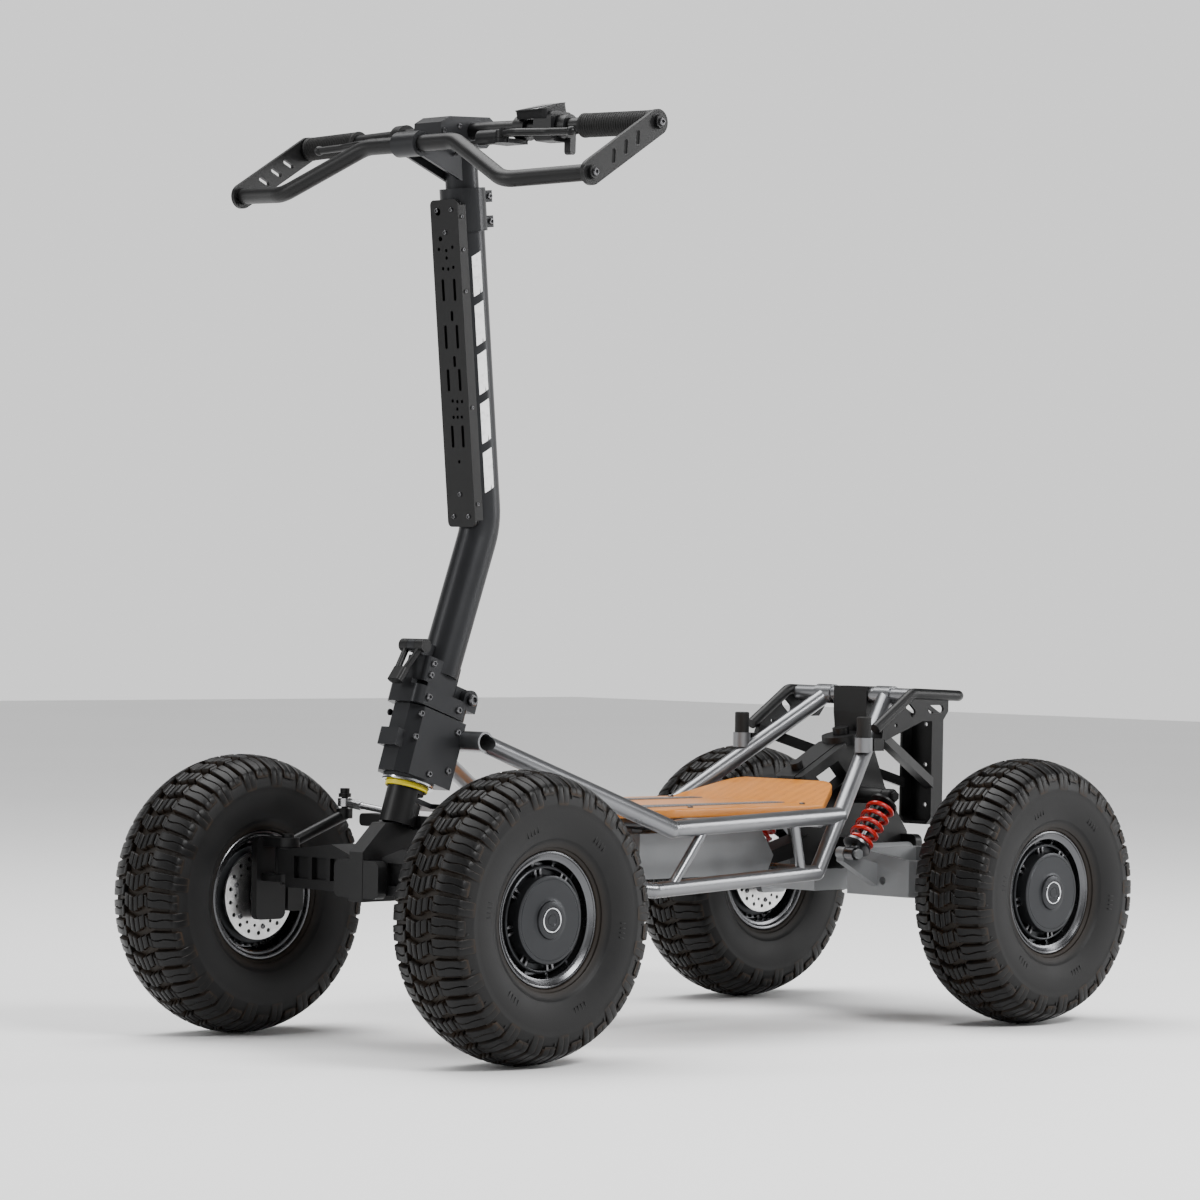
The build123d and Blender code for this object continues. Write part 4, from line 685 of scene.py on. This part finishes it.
def tread_unit():
    """Two pitches of tread: centre chevrons and stepped shoulder blocks."""
    pitch = 2 * math.pi * CROWN_R / TREAD_PITCHES
    parts = []
    dust = []

    def add(made):
        parts.append(made[0])
        dust.extend(made[1])

    for index in range(2):
        for side in (1, -1):
            base = (index - 0.5) * pitch + (0.0 if side > 0 else pitch * 0.5)
            lean = 4.5
            path = tread_path(26, 58.5, side, index == 0)

            def edge(offset, wave=0.0):
                return lambda t: base + offset + lean * t + wave * math.sin(t * 9.5) * (1 - 0.5 * t)

            add(slab(path, edge(-10.6), edge(-0.5, 1.7)))
            add(slab(path, edge(0.5, 1.7), edge(11.4)))
            add(slab(path, edge(-9.8), edge(10.6), drop=4.2, bevel=0.3))
            # The step on the block's inner end.
            add(slab(tread_path(21, 26.4, side), edge(-5.5), edge(8.4)))
            # Half of the centre chevron, cut into two fingers on a common foot.
            middle = (index - 0.5) * pitch + pitch * 0.25

            def vee(offset, start, stop):
                return lambda t: middle + offset - 0.42 * (start + (stop - start) * t)

            for start, stop, reach in ((1.0, 8.6, 11.0), (10.2, 18.6, 9.6)):
                finger = tread_path(start, stop, side)
                add(slab(finger, vee(-reach + 3, start, stop), vee(reach + 1, start, stop)))
            add(slab(tread_path(0.4, 18.0, side), vee(-6.5, 0.4, 18), vee(9.5, 0.4, 18), drop=4.0, bevel=0.3))
    return joined(parts), dust


def make_tyres():
    crown_low = [(y, crown(abs(y)) - 8.2) for y in (50, 44, 37, 29, 20, 10, 0)]
    wall = [
        (41.2, 76.6),
        (41.2, 88.6),
        (46.4, 88.9),
        (47.6, 90.2),
        (48.2, 92.4),
        (49.6, 93.4),
        (51.4, 93.2),
        (52.6, 95.0),
        (53.6, 98.0),
        (56.4, 103.5),
        (57.4, 104.2),
        (58.0, 105.6),
        (60.2, 112.0),
        (62.4, 121.0),
        (63.6, 131.0),
        (63.9, 140.0),
        (63.6, 146.5),
        (63.9, 148.0),
        (63.5, 149.8),
        (62.6, 155.0),
        (60.6, 161.0),
        (57.6, 166.5),
        (54.2, 170.8),
    ]
    half = wall + crown_low
    profile = half + [(-y, r) for y, r in reversed(half[:-1])]
    carcass = lathe(profile, 132)
    unit, dust = tread_unit()
    # Short raised marks round the wall, in place of lettering.
    tick = box_of((-0.9, 61.0, 156.0), (0.9, 62.9, 161.0), 0.3)
    bar = turned(box_of((-0.8, 61.6, 118.0), (0.8, 63.1, 127.0), 0.3), (0, 3.0, 6.0, 9.0))
    for corner, (x, side) in CORNERS.items():
        centre = (x, side * WHEEL_Y, WHEEL_Z)
        body = f"{corner}_wheel"
        points, faces = carcass
        wall_piece = mesh_of(f"tyre_carcass_{corner}", shift(points, centre, side), faces)
        finish_piece(wall_piece, "sidewall", body, [f"tyre_{corner}"], 55)
        tread = ring(f"tyre_tread_{corner}", unit, TREAD_PITCHES // 2, centre, "tread", dust=dust, angle=40)
        finish_piece(tread, None, body, angle=0)
        ticks = ring(f"tyre_wall_ticks_{corner}", mirrored(tick, side), 42, centre, "sidewall")
        finish_piece(ticks, None, body)
        bars = ring(f"tyre_wall_bars_{corner}", mirrored(bar, side), 6, centre, "sidewall", start=0.3)
        finish_piece(bars, None, body)


# ---- hub motors -----------------------------------------------------------------------------


ROTOR_BOLTS = 6
ROTOR_BOLT_CIRCLE = 44.0


def make_hubs():
    rim = [
        (45.4, 87.8),
        (46.4, 87.4),
        (46.8, 86.2),
        (46.2, 84.9),
        (45.2, 84.4),
        (41.8, 79.4),
        (41.2, 78.2),
        (40.0, 77.2),
        (38.0, 76.6),
        (31.0, 75.6),
        (22.0, 74.6),
        (20.0, 72.0),
        (20.0, 68.2),
        (-20.0, 68.2),
        (-20.0, 72.0),
        (-22.0, 74.6),
        (-31.0, 75.6),
        (-38.0, 76.8),
        (-41.6, 79.6),
        (-42.6, 81.4),
        (-44.2, 82.0),
        (-46.0, 83.2),
        (-46.7, 85.0),
        (-46.6, 86.6),
        (-45.9, 87.6),
        (-42.2, 87.9),
        (-42.0, 78.0),
        (-41.2, 76.4),
        (41.2, 76.4),
        (42.0, 78.0),
        (42.2, 87.9),
    ]
    drum = [
        (29.0, 57.6),
        (29.0, 64.4),
        (37.6, 64.8),
        (39.0, 65.6),
        (39.4, 67.0),
        (38.4, 68.4),
        (36.0, 69.4),
        (30.0, 69.0),
        (24.0, 67.4),
        (22.0, 69.0),
        (-22.0, 69.0),
        (-24.0, 67.4),
        (-29.0, 66.4),
        (-30.0, 64.0),
        (-30.0, 10.3),
        (27.0, 10.3),
        (27.0, 57.6),
    ]
    cover = [
        (29.5, 10.2),
        (29.5, 57.2),
        (48.0, 57.2),
        (49.6, 56.6),
        (50.2, 55.2),
        (50.2, 52.8),
        (49.8, 52.4),
        (49.8, 51.6),
        (50.2, 51.2),
        (50.4, 30.0),
        (50.5, 26.4),
        (51.2, 25.0),
        (53.6, 24.0),
        (54.2, 22.6),
        (54.3, 17.2),
        (53.2, 16.6),
        (53.2, 10.2),
    ]
    cap = [
        (50.0, 13.2),
        (50.0, 16.4),
        (54.4, 16.4),
        (55.0, 15.9),
        (55.0, 14.8),
        (54.4, 14.2),
        (53.0, 13.9),
    ]
    plug = [
        (49.8, 0.01),
        (49.8, 13.9),
        (53.2, 13.9),
        (53.8, 13.2),
        (53.8, 8.6),
        (53.3, 8.0),
        (53.3, 6.6),
        (54.0, 6.0),
        (54.0, 0.01),
    ]
    bridge = turned(box_of((-1.9, 33.5, 56.6), (1.9, 39.2, 66.4), 0.7), (-4.2, 4.2))
    fin = box_of((-0.7, -28.5, 66.2), (0.7, -22.5, 70.8), 0.2)
    spoke = box_of((-2.2, 22.0, 66.4), (2.2, 31.0, 75.4), 0.8)
    for corner, (x, side) in CORNERS.items():
        centre = (x, side * WHEEL_Y, WHEEL_Z)
        body = f"{corner}_wheel"
        hub = f"hub_motor_{corner}"
        for name, profile, look, closed, steps in (
            ("rim", rim, "rim", True, 112),
            ("motor_drum", drum, "cover", True, 96),
            ("motor_cover", cover, "cover", True, 96),
            ("axle_ring", cap, "bright_edge", True, 64),
            ("axle_plug", plug, "cover", False, 48),
        ):
            points, faces = lathe(profile, steps, closed)
            piece = mesh_of(f"{name}_{corner}", shift(points, centre, side), faces)
            finish_piece(piece, look, body, [hub], 28)
        for name, part, count, look in (
            ("motor_bridges", bridge, 8, "dark_steel"),
            ("motor_fins", fin, 36, "black"),
            ("rim_ribs", spoke, 12, "rim"),
        ):
            piece = ring(f"{name}_{corner}", mirrored(part, side), count, centre, look, start=0.2)
            finish_piece(piece, None, body)
        spots = []
        for i in range(ROTOR_BOLTS):
            turn = 2 * math.pi * i / ROTOR_BOLTS + math.radians(20)
            across = x / MM + ROTOR_BOLT_CIRCLE * math.cos(turn)
            up = WHEEL_Z / MM + ROTOR_BOLT_CIRCLE * math.sin(turn)
            spots.append(((across, side * (WHEEL_Y / MM - 40.0), up), (0, -side, 0), 0.8))
        on_spots(f"rotor_bolts_{corner}", BUTTON, spots, "dark_steel", body)


# ---- deck -----------------------------------------------------------------------------------


def deck_line(x):
    """Half width, base height at x, in mm."""
    front, full, flat_end, tail = 250.0, 100.0, -212.0, -294.0
    if x > full:
        half = 149.0 - (x - full) / (front - full) * (149.0 - 62.0)
    elif x > flat_end:
        half = 149.0
    else:
        half = 149.0 - (flat_end - x) / (flat_end - tail) * (149.0 - 96.0)
    lift = 0.0 if x > flat_end else (flat_end - x) / (flat_end - tail) * 29.0
    return half, 302.0 + lift


def deck_section(x, inset=0.0, low=0.3, high=13.0, edge=2.2):
    half, base = deck_line(x)
    half -= inset
    loop = []
    for side in (1, -1):
        arc = []
        for i in range(5):
            turn = math.radians(-90 + 90 * i / 4)
            arc.append((half - edge + edge * math.cos(turn), low + edge + edge * math.sin(turn)))
        for i in range(5):
            turn = math.radians(90 * i / 4)
            arc.append((half - edge + edge * math.cos(turn), high - edge + edge * math.sin(turn)))
        if side < 0:
            arc.reverse()
        loop += [(x * MM, side * y * MM, (base + z) * MM) for y, z in arc]
    return loop


STRIP_FRONT, STRIP_REAR, STRIP_STEPS = 178.0, -203.0, 24


def make_deck():
    xs = [249.8, 249.0, 247.0, 240, 200, 150, 110, 100, 92, 60, 20, -20, -60, -100, -140, -180, -204]
    xs += [-212, -220, -235, -250, -265, -275, -281, -286, -290, -292.6, -293.8]
    sections = []
    for x in xs:
        inset = 0.0
        if x < -274:
            inset = 20 - math.sqrt(max(0.0, 400 - (-274 - x) ** 2))
        if x > 247.5:
            inset = (x - 247.5) * 0.8
        edge = 2.2 if -292 < x < 248 else 2.9
        sections.append(deck_section(x, inset, edge=edge))
    board = mesh_of("deck_board_wood", *loft(sections))
    finish_piece(board, "wood", "chassis", ["deck_board"], 40)
    for hand, side in SIDES:
        sections = []
        for i in range(STRIP_STEPS + 1):
            t = i / STRIP_STEPS
            x = STRIP_FRONT - (STRIP_FRONT - STRIP_REAR) * t
            inner = 70.0 + 6.0 * t
            outer = 104.0 - 20.0 * t
            low, high = 314.4, 317.2
            if i in (0, STRIP_STEPS):
                high = 316.2
                inner += 0.8
                outer -= 0.8
            brow = high - 0.9
            right = [(outer, low), (outer, brow), (outer - 1, high)]
            loop = right + [(inner + 1, high), (inner, brow), (inner, low)]
            sections.append([(x * MM, side * y * MM, z * MM) for y, z in loop])
        strip = mesh_of(f"deck_grip_strip_{hand}", *loft(sections))
        finish_piece(strip, "grit", "chassis", angle=20)
    spots = []
    for x, y in ((228, 40), (40, 128), (-190, 128)):
        spots += [((x, side * y, 315.0), (0, 0, 1), 1.0) for _, side in SIDES]
    on_spots("deck_screws", BUTTON, spots, "dark_steel", "chassis")


# ---- handlebar pieces -----------------------------------------------------------------------

BAR_X, BAR_Z = 378.0, 1225.0
BAR_STRAIGHT, BAR_HALF = 60.0, 335.0
GRIP_DIR = Vector((-30.0, 275.0, -3.0)).normalized()


def bar_point(distance, side):
    reach = (distance - BAR_STRAIGHT) / GRIP_DIR.y
    spot = Vector((BAR_X, BAR_STRAIGHT, BAR_Z)) + GRIP_DIR * reach
    return Vector((spot.x, side * spot.y, spot.z))


def along_bar(part, distance, side):
    """A shape turned about Y at the origin, put on the bar with Y running outboard."""
    out = Vector((GRIP_DIR.x, GRIP_DIR.y * side, GRIP_DIR.z))
    z = Vector((0, 0, 1))
    x = out.cross(z).normalized()
    z = x.cross(out).normalized()
    turn = Matrix((x, out, z)).transposed().to_4x4()
    return moved(part, Matrix.Translation(bar_point(distance, side) * MM) @ turn)


def make_grips():
    profile = [(0.4, 11.4), (0.4, 16.0), (1.2, 16.4), (4.5, 16.4), (5.3, 15.6)]
    y = 6.0
    while y < 108:
        profile += [(y, 15.0), (y + 0.9, 16.1), (y + 2.3, 16.1), (y + 3.2, 15.0)]
        y += 4.0
    profile += [(109.6, 15.4), (110.6, 16.4), (114.6, 16.4), (115.6, 15.8), (115.6, 11.4)]
    for hand, side in SIDES:
        points, faces = along_bar(lathe(profile, 40), BAR_HALF - 118.0, side)
        grip = mesh_of(f"grip_{hand}", points, faces)
        finish_piece(grip, "rubber", "bars", ["grips"], 50)


def make_controls():
    spot = bar_point(148, 1) + Vector((2, 0, 15))
    lean = facing((0.25, 0, 1), (0, 1, 0))
    place = Matrix.Translation((spot + Vector((3.0, 0, 11.6))) * MM) @ lean
    glass = moved(box_of((-23, -17, -0.6), (23, 17, 1.2), 0.8), place)
    piece = mesh_of("display_screen", *glass)
    finish_piece(piece, "glass", "bars")
    bezel = []
    for lo, hi in (
        ((-27, -21, -0.8), (-24, 21, 0.9)),
        ((24, -21, -0.8), (27, 21, 0.9)),
        ((-24, 18, -0.8), (24, 21, 0.9)),
        ((-24, -21, -0.8), (24, -18, 0.9)),
    ):
        bezel.append(moved(box_of(lo, hi, 0.5), place))
    piece = mesh_of("display_bezel", *joined(bezel))
    finish_piece(piece, "plastic", "bars")


HOSE_RADIUS = 2.75


def make_hoses():
    for hand, side in SIDES:
        exit_point = bar_point(118, side) + Vector((26, side * -58, -16.4))
        knee = exit_point + Vector((0, side * -22, 0))
        foot = Vector((404.0, side * 19.06, knee.z - 15.4))
        curve = bpy.data.curves.new(f"brake_hose_line_{hand}", "CURVE")
        curve.dimensions = "3D"
        line = curve.splines.new("NURBS")
        line.points.add(2)
        for dot, spot in zip(line.points, (exit_point, knee, foot)):
            dot.co = (*(spot * MM), 1.0)
        line.order_u = 3
        line.use_endpoint_u = True
        line.resolution_u = 24
        curve.bevel_depth = HOSE_RADIUS * MM
        curve.bevel_resolution = 4
        curve.use_fill_caps = True
        curve.materials.append(LOOK["hose"])
        made = bpy.data.objects.new(f"brake_hose_line_{hand}", curve)
        bpy.context.scene.collection.objects.link(made)
        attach(made, "bars")
        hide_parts(f"brake_hose_{hand}")


# ---- carried-over CAD nodes -----------------------------------------------------------------


def paint_nodes():
    looks = {
        "main_frame": "frame",
        "post_caps": "rubber",
        "battery_box": "battery",
        "front_carrier": "black",
        "head_block": "stem",
        "rear_carrier": "black",
        "rear_rack": "black",
        "rear_channel": "black",
        "steering_base": "stem",
        "lower_stem": "stem",
        "fold_lever": "black",
        "stem_panel": "black",
        "upper_stem": "stem",
        "handlebar": "black",
        "guard_bar": "black",
        "control_housings": "plastic",
        "throttle_paddle": "plastic",
    }
    for hand, _ in SIDES:
        looks[f"front_arm_{hand}"] = "black"
        looks[f"rear_arm_{hand}"] = "cast"
        looks[f"steering_knuckle_{hand}"] = "black"
        looks[f"tie_rod_{hand}"] = "steel"
        looks[f"brake_lever_{hand}"] = "black"
    for corner in CORNERS:
        looks[f"brake_disc_{corner}"] = "rotor"
        looks[f"brake_caliper_{corner}"] = "black"
        looks[f"shock_body_{corner}"] = "black"
        looks[f"shock_rod_{corner}"] = "dark_steel"
        looks[f"shock_spring_{corner}"] = "spring"
    for node, look in looks.items():
        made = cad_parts[node]
        made.data.materials.clear()
        made.data.materials.append(LOOK[look])


# ---- small fittings -------------------------------------------------------------------------


HEAD_RAKE = math.radians(18)


def make_fittings():
    head = Vector((424.0, 0, 446.0))
    c, s = math.cos(HEAD_RAKE), math.sin(HEAD_RAKE)

    def rake(u, w, y=0.0):
        return (head.x + u * c - w * s, y, head.z + u * s + w * c)

    ring_profile = [(-2.2, 30.2), (-2.2, 34.0), (-1.0, 35.4), (1.0, 35.4), (2.2, 34.0), (2.2, 30.2)]
    chrome = mesh_of("head_ring", *moved(lathe(ring_profile, 64), tilted(rake(0, -99.5))))
    finish_piece(chrome, "bright_edge", "chassis")
    bush_profile = [(-3.5, 24.0), (-3.5, 28.2), (-2.4, 29.0), (2.4, 29.0), (3.5, 28.2), (3.5, 24.0)]
    bush = mesh_of("head_bush", *moved(lathe(bush_profile, 64), tilted(rake(0, -105.0))))
    finish_piece(bush, "yellow", "chassis")
    spots = []
    for side in (1, -1):
        for u, w in ((34, -12), (34, -44), (-38, -16), (-38, -70), (-6, -84)):
            spots.append((rake(u, w, side * 29.9), (0, side, 0), 1.1))
    on_spots("head_screws", BUTTON, spots, "dark_steel", "chassis")
    spots = []
    for u, w in ((-28, 12), (30, 12)):
        spots += [(rake(u, w, side * 32.0), (0, side, 0), 1.2) for _, side in SIDES]
    spots += [(rake(-46, 32, side * 34.0), (0, side, 0), 1.9) for side in (1, -1)]
    on_spots("fold_screws", BUTTON, spots, "dark_steel", "steering")
    spots = [(rake(26, w, side * 21.4), (0, side, 0), 1.1) for w in (44, 60) for side in (1, -1)]
    on_spots("stem_foot_screws", BUTTON, spots, "dark_steel", "stem")


def tilted(point):
    """Puts a shape turned about Y on the steering axis at point, in mm."""
    return (
        Matrix.Translation(Vector(point) * MM)
        @ Matrix.Rotation(-HEAD_RAKE, 4, "Y")
        @ Matrix.Rotation(math.radians(90), 4, "X")
    )


STEM_BEND = Vector((326.0, 0.0, 700.0))
STEM_TOP = Vector((372.0, 0.0, 1150.0))
STEM_DIR = (STEM_TOP - STEM_BEND).normalized()
STEM_FORWARD = Vector((STEM_DIR.z, 0.0, -STEM_DIR.x))


def make_stem_details():
    # The panel's dark inner tray, which closes the view through its slots.
    face = STEM_TOP - STEM_DIR * 234.0 + STEM_FORWARD * 36.5
    turn = Matrix((STEM_FORWARD, Vector((0, 1, 0)), STEM_DIR)).transposed().to_4x4()
    put = Matrix.Translation(face * MM) @ turn
    tray = [moved(box_of((-9.0, -23.6, -216.0), (-7.4, 23.6, 216.0), 0.4), put)]
    for y in (-11.0, 11.0):
        tray.append(moved(box_of((-7.6, y - 5.5, -150.0), (-5.4, y + 5.5, 128.0), 0.6), put))
    piece = mesh_of("panel_tray", *joined(tray))
    finish_piece(piece, "black", "stem")
    spots = []
    for y, z in ((-14, 206), (14, 206), (-14, -206), (14, -206), (0, 176), (0, -176)):
        spots.append((tuple(put_mm(put, (0.1, y, z))), tuple(STEM_FORWARD), 0.75))
    for z in (196, 152, 96, -60, -190):
        spots.append((tuple(put_mm(put, (-6.5, 26.6, z))), (0, 1, 0), 0.62))
        spots.append((tuple(put_mm(put, (-6.5, -26.6, z))), (0, -1, 0), 0.62))
    on_spots("panel_screws", BUTTON, spots, "dark_steel", "stem")
    # A plain row of pale bars along each side of the stem.
    for hand, side in SIDES:
        rows = [stripe(-92.0 - 66.0 * i, side) for i in range(5)]
        decal = mesh_of(f"stem_stripes_{hand}", *joined(rows))
        finish_piece(decal, "stripe", "stem", angle=40)
    spots = []
    for lift in (12.0, 46.0):
        point = STEM_TOP - STEM_DIR * (58.0 - lift) - STEM_FORWARD * 33.5
        spots.append(((point.x, 17.2, point.z), (0, 1, 0), 1.0))
        spots.append(((point.x, -17.2, point.z), (0, -1, 0), 1.0))
    on_spots("collar_bolts", BUTTON, spots, "dark_steel", "stem")


def put_mm(matrix, point):
    return (matrix @ (Vector(point) * MM)) / MM


def stripe(height, side):
    """A bar wrapped on the stem's side, with slanted ends."""
    loops = []
    # The first two are degrees round the tube from the front, the others millimetres along it.
    low_turn, span, length, slant = 62.0, 30.0, 54.0, 7.0
    for radius in (26.7, 27.35):
        loop = []
        for k in range(7):
            loop.append((math.radians(low_turn + span * k / 6), height - length + slant * k / 6, radius))
        for k in reversed(range(7)):
            loop.append((math.radians(low_turn + span * k / 6), height + slant * k / 6, radius))
        spots = []
        for turn, rise, r in loop:
            spot = STEM_TOP + STEM_DIR * rise + STEM_FORWARD * (r * math.cos(turn))
            spots.append(((spot.x) * MM, side * r * math.sin(turn) * MM, spot.z * MM))
        loops.append(spots)
    return loft(loops)


def make_bar_details():
    """Screws of the clamp, the guard's end plates and the control clamps."""
    grip_end = Vector((348.0, 0, 1222.0))
    guard_end = Vector((469.0, 0, 1148.0))
    spots = []
    for side in (1, -1):
        for end in (grip_end, guard_end):
            spots.append(((end.x, side * 346.2, end.z), (0, side, 0), 1.35))
        for x, z in ((360, 1241), (402, 1240)):
            spots.append(((x, side * 16, z + 1.2), (0, 0, 1), 1.0))
        for x, z in ((432, 1222), (404, 1230), (352, 1228)):
            spots.append(((x, side * 26, z), (0, side, 0), 0.9))
        spots.append(((459, side * 8, 1217.5), (-0.2, 0, 1), 0.7))
    on_spots("bar_screws", BUTTON, spots, "dark_steel", "bars", 0.9)


BUTTON = screw_unit("cap_screw_unit", 4.2, 2.6)

make_tyres()
make_hubs()
make_deck()
make_grips()
make_controls()
make_hoses()
paint_nodes()
make_fittings()
make_stem_details()
make_bar_details()
bpy.data.objects.remove(BUTTON)

# ---- studio ---------------------------------------------------------------------------------


def studio():
    f = Finish("studio_floor")
    cloud = f.noise(0.8, 2.0, 0.5)
    pale = f.blend(cloud, (0.86, 0.86, 0.86), (0.9, 0.9, 0.9))
    f.set(base_color=pale, roughness=0.6, specular_ior_level=0.2)
    half = 14.0
    corners = [(-half, -half, 0), (half, -half, 0), (half, half, 0), (-half, half, 0)]
    data = bpy.data.meshes.new("studio_floor")
    data.from_pydata(corners, [], [(0, 1, 2, 3)])
    data.materials.append(f.material)
    floor = bpy.data.objects.new("studio_floor", data)
    bpy.context.scene.collection.objects.link(floor)

    world = bpy.data.worlds.new("studio_world")
    bpy.context.scene.world = world
    world.use_nodes = True
    tree = world.node_tree
    sky = tree.nodes["Background"]
    # A bright band round the horizon and a dim ceiling.
    view = tree.nodes.new("ShaderNodeTexCoord")
    parts = tree.nodes.new("ShaderNodeSeparateXYZ")
    height = tree.nodes.new("ShaderNodeMapRange")
    height.interpolation_type = "SMOOTHSTEP"
    for key, value in (("From Min", 0.13), ("From Max", 0.34), ("To Min", 1.0), ("To Max", 0.10)):
        height.inputs[key].default_value = value
    tree.links.new(view.outputs["Generated"], parts.inputs[0])
    tree.links.new(parts.outputs[2], height.inputs["Value"])
    tree.links.new(height.outputs[0], sky.inputs["Color"])
    sky.inputs["Strength"].default_value = 1.15

    for name, spot, aim, size, power in (
        ("key_light", (0.2, 3.4, 3.2), (0, 0, 0.4), (2.2, 1.0), 210.0),
        ("side_light", (-3.8, 2.8, 1.9), (0, 0, 0.35), (0.9, 2.4), 110.0),
        ("front_light", (4.8, -2.2, 2.6), (0.2, 0, 0.4), (0.9, 2.4), 90.0),
        ("top_light", (-0.6, -1.2, 4.2), (0, 0, 0.3), (4.0, 2.6), 160.0),
    ):
        data = bpy.data.lights.new(name, "AREA")
        data.shape = "RECTANGLE"
        data.size, data.size_y = size
        data.energy = power
        lamp = bpy.data.objects.new(name, data)
        bpy.context.scene.collection.objects.link(lamp)
        lamp.location = spot
        lamp.rotation_euler = facing(Vector(spot) - Vector(aim)).to_euler()

    data = bpy.data.lights.new("ceiling_wash", "SUN")
    data.energy = 2.3
    data.angle = math.radians(50)
    lamp = bpy.data.objects.new("ceiling_wash", data)
    bpy.context.scene.collection.objects.link(lamp)
    lamp.rotation_euler = facing((0.25, -0.3, 1.0)).to_euler()

    data = bpy.data.cameras.new("camera")
    data.sensor_width = 36.0
    data.lens = 140.99
    camera = bpy.data.objects.new("camera", data)
    bpy.context.scene.collection.objects.link(camera)
    azimuth, elevation, roll = (math.radians(a) for a in (44.4276, 0.1528, 0.9648))
    level = math.cos(elevation)
    back = Vector((math.cos(azimuth) * level, math.sin(azimuth) * level, math.sin(elevation)))
    right = (-back).cross(Vector((0, 0, 1))).normalized()
    up = right.cross(-back)
    turned_right = right * math.cos(roll) + up * math.sin(roll)
    turned_up = up * math.cos(roll) - right * math.sin(roll)
    matrix = Matrix((turned_right, turned_up, back)).transposed().to_4x4()
    matrix.translation = Vector((4.7528, 4.5666, 0.6163))
    camera.matrix_world = matrix
    data.clip_end = 60
    bpy.context.scene.camera = camera


studio()
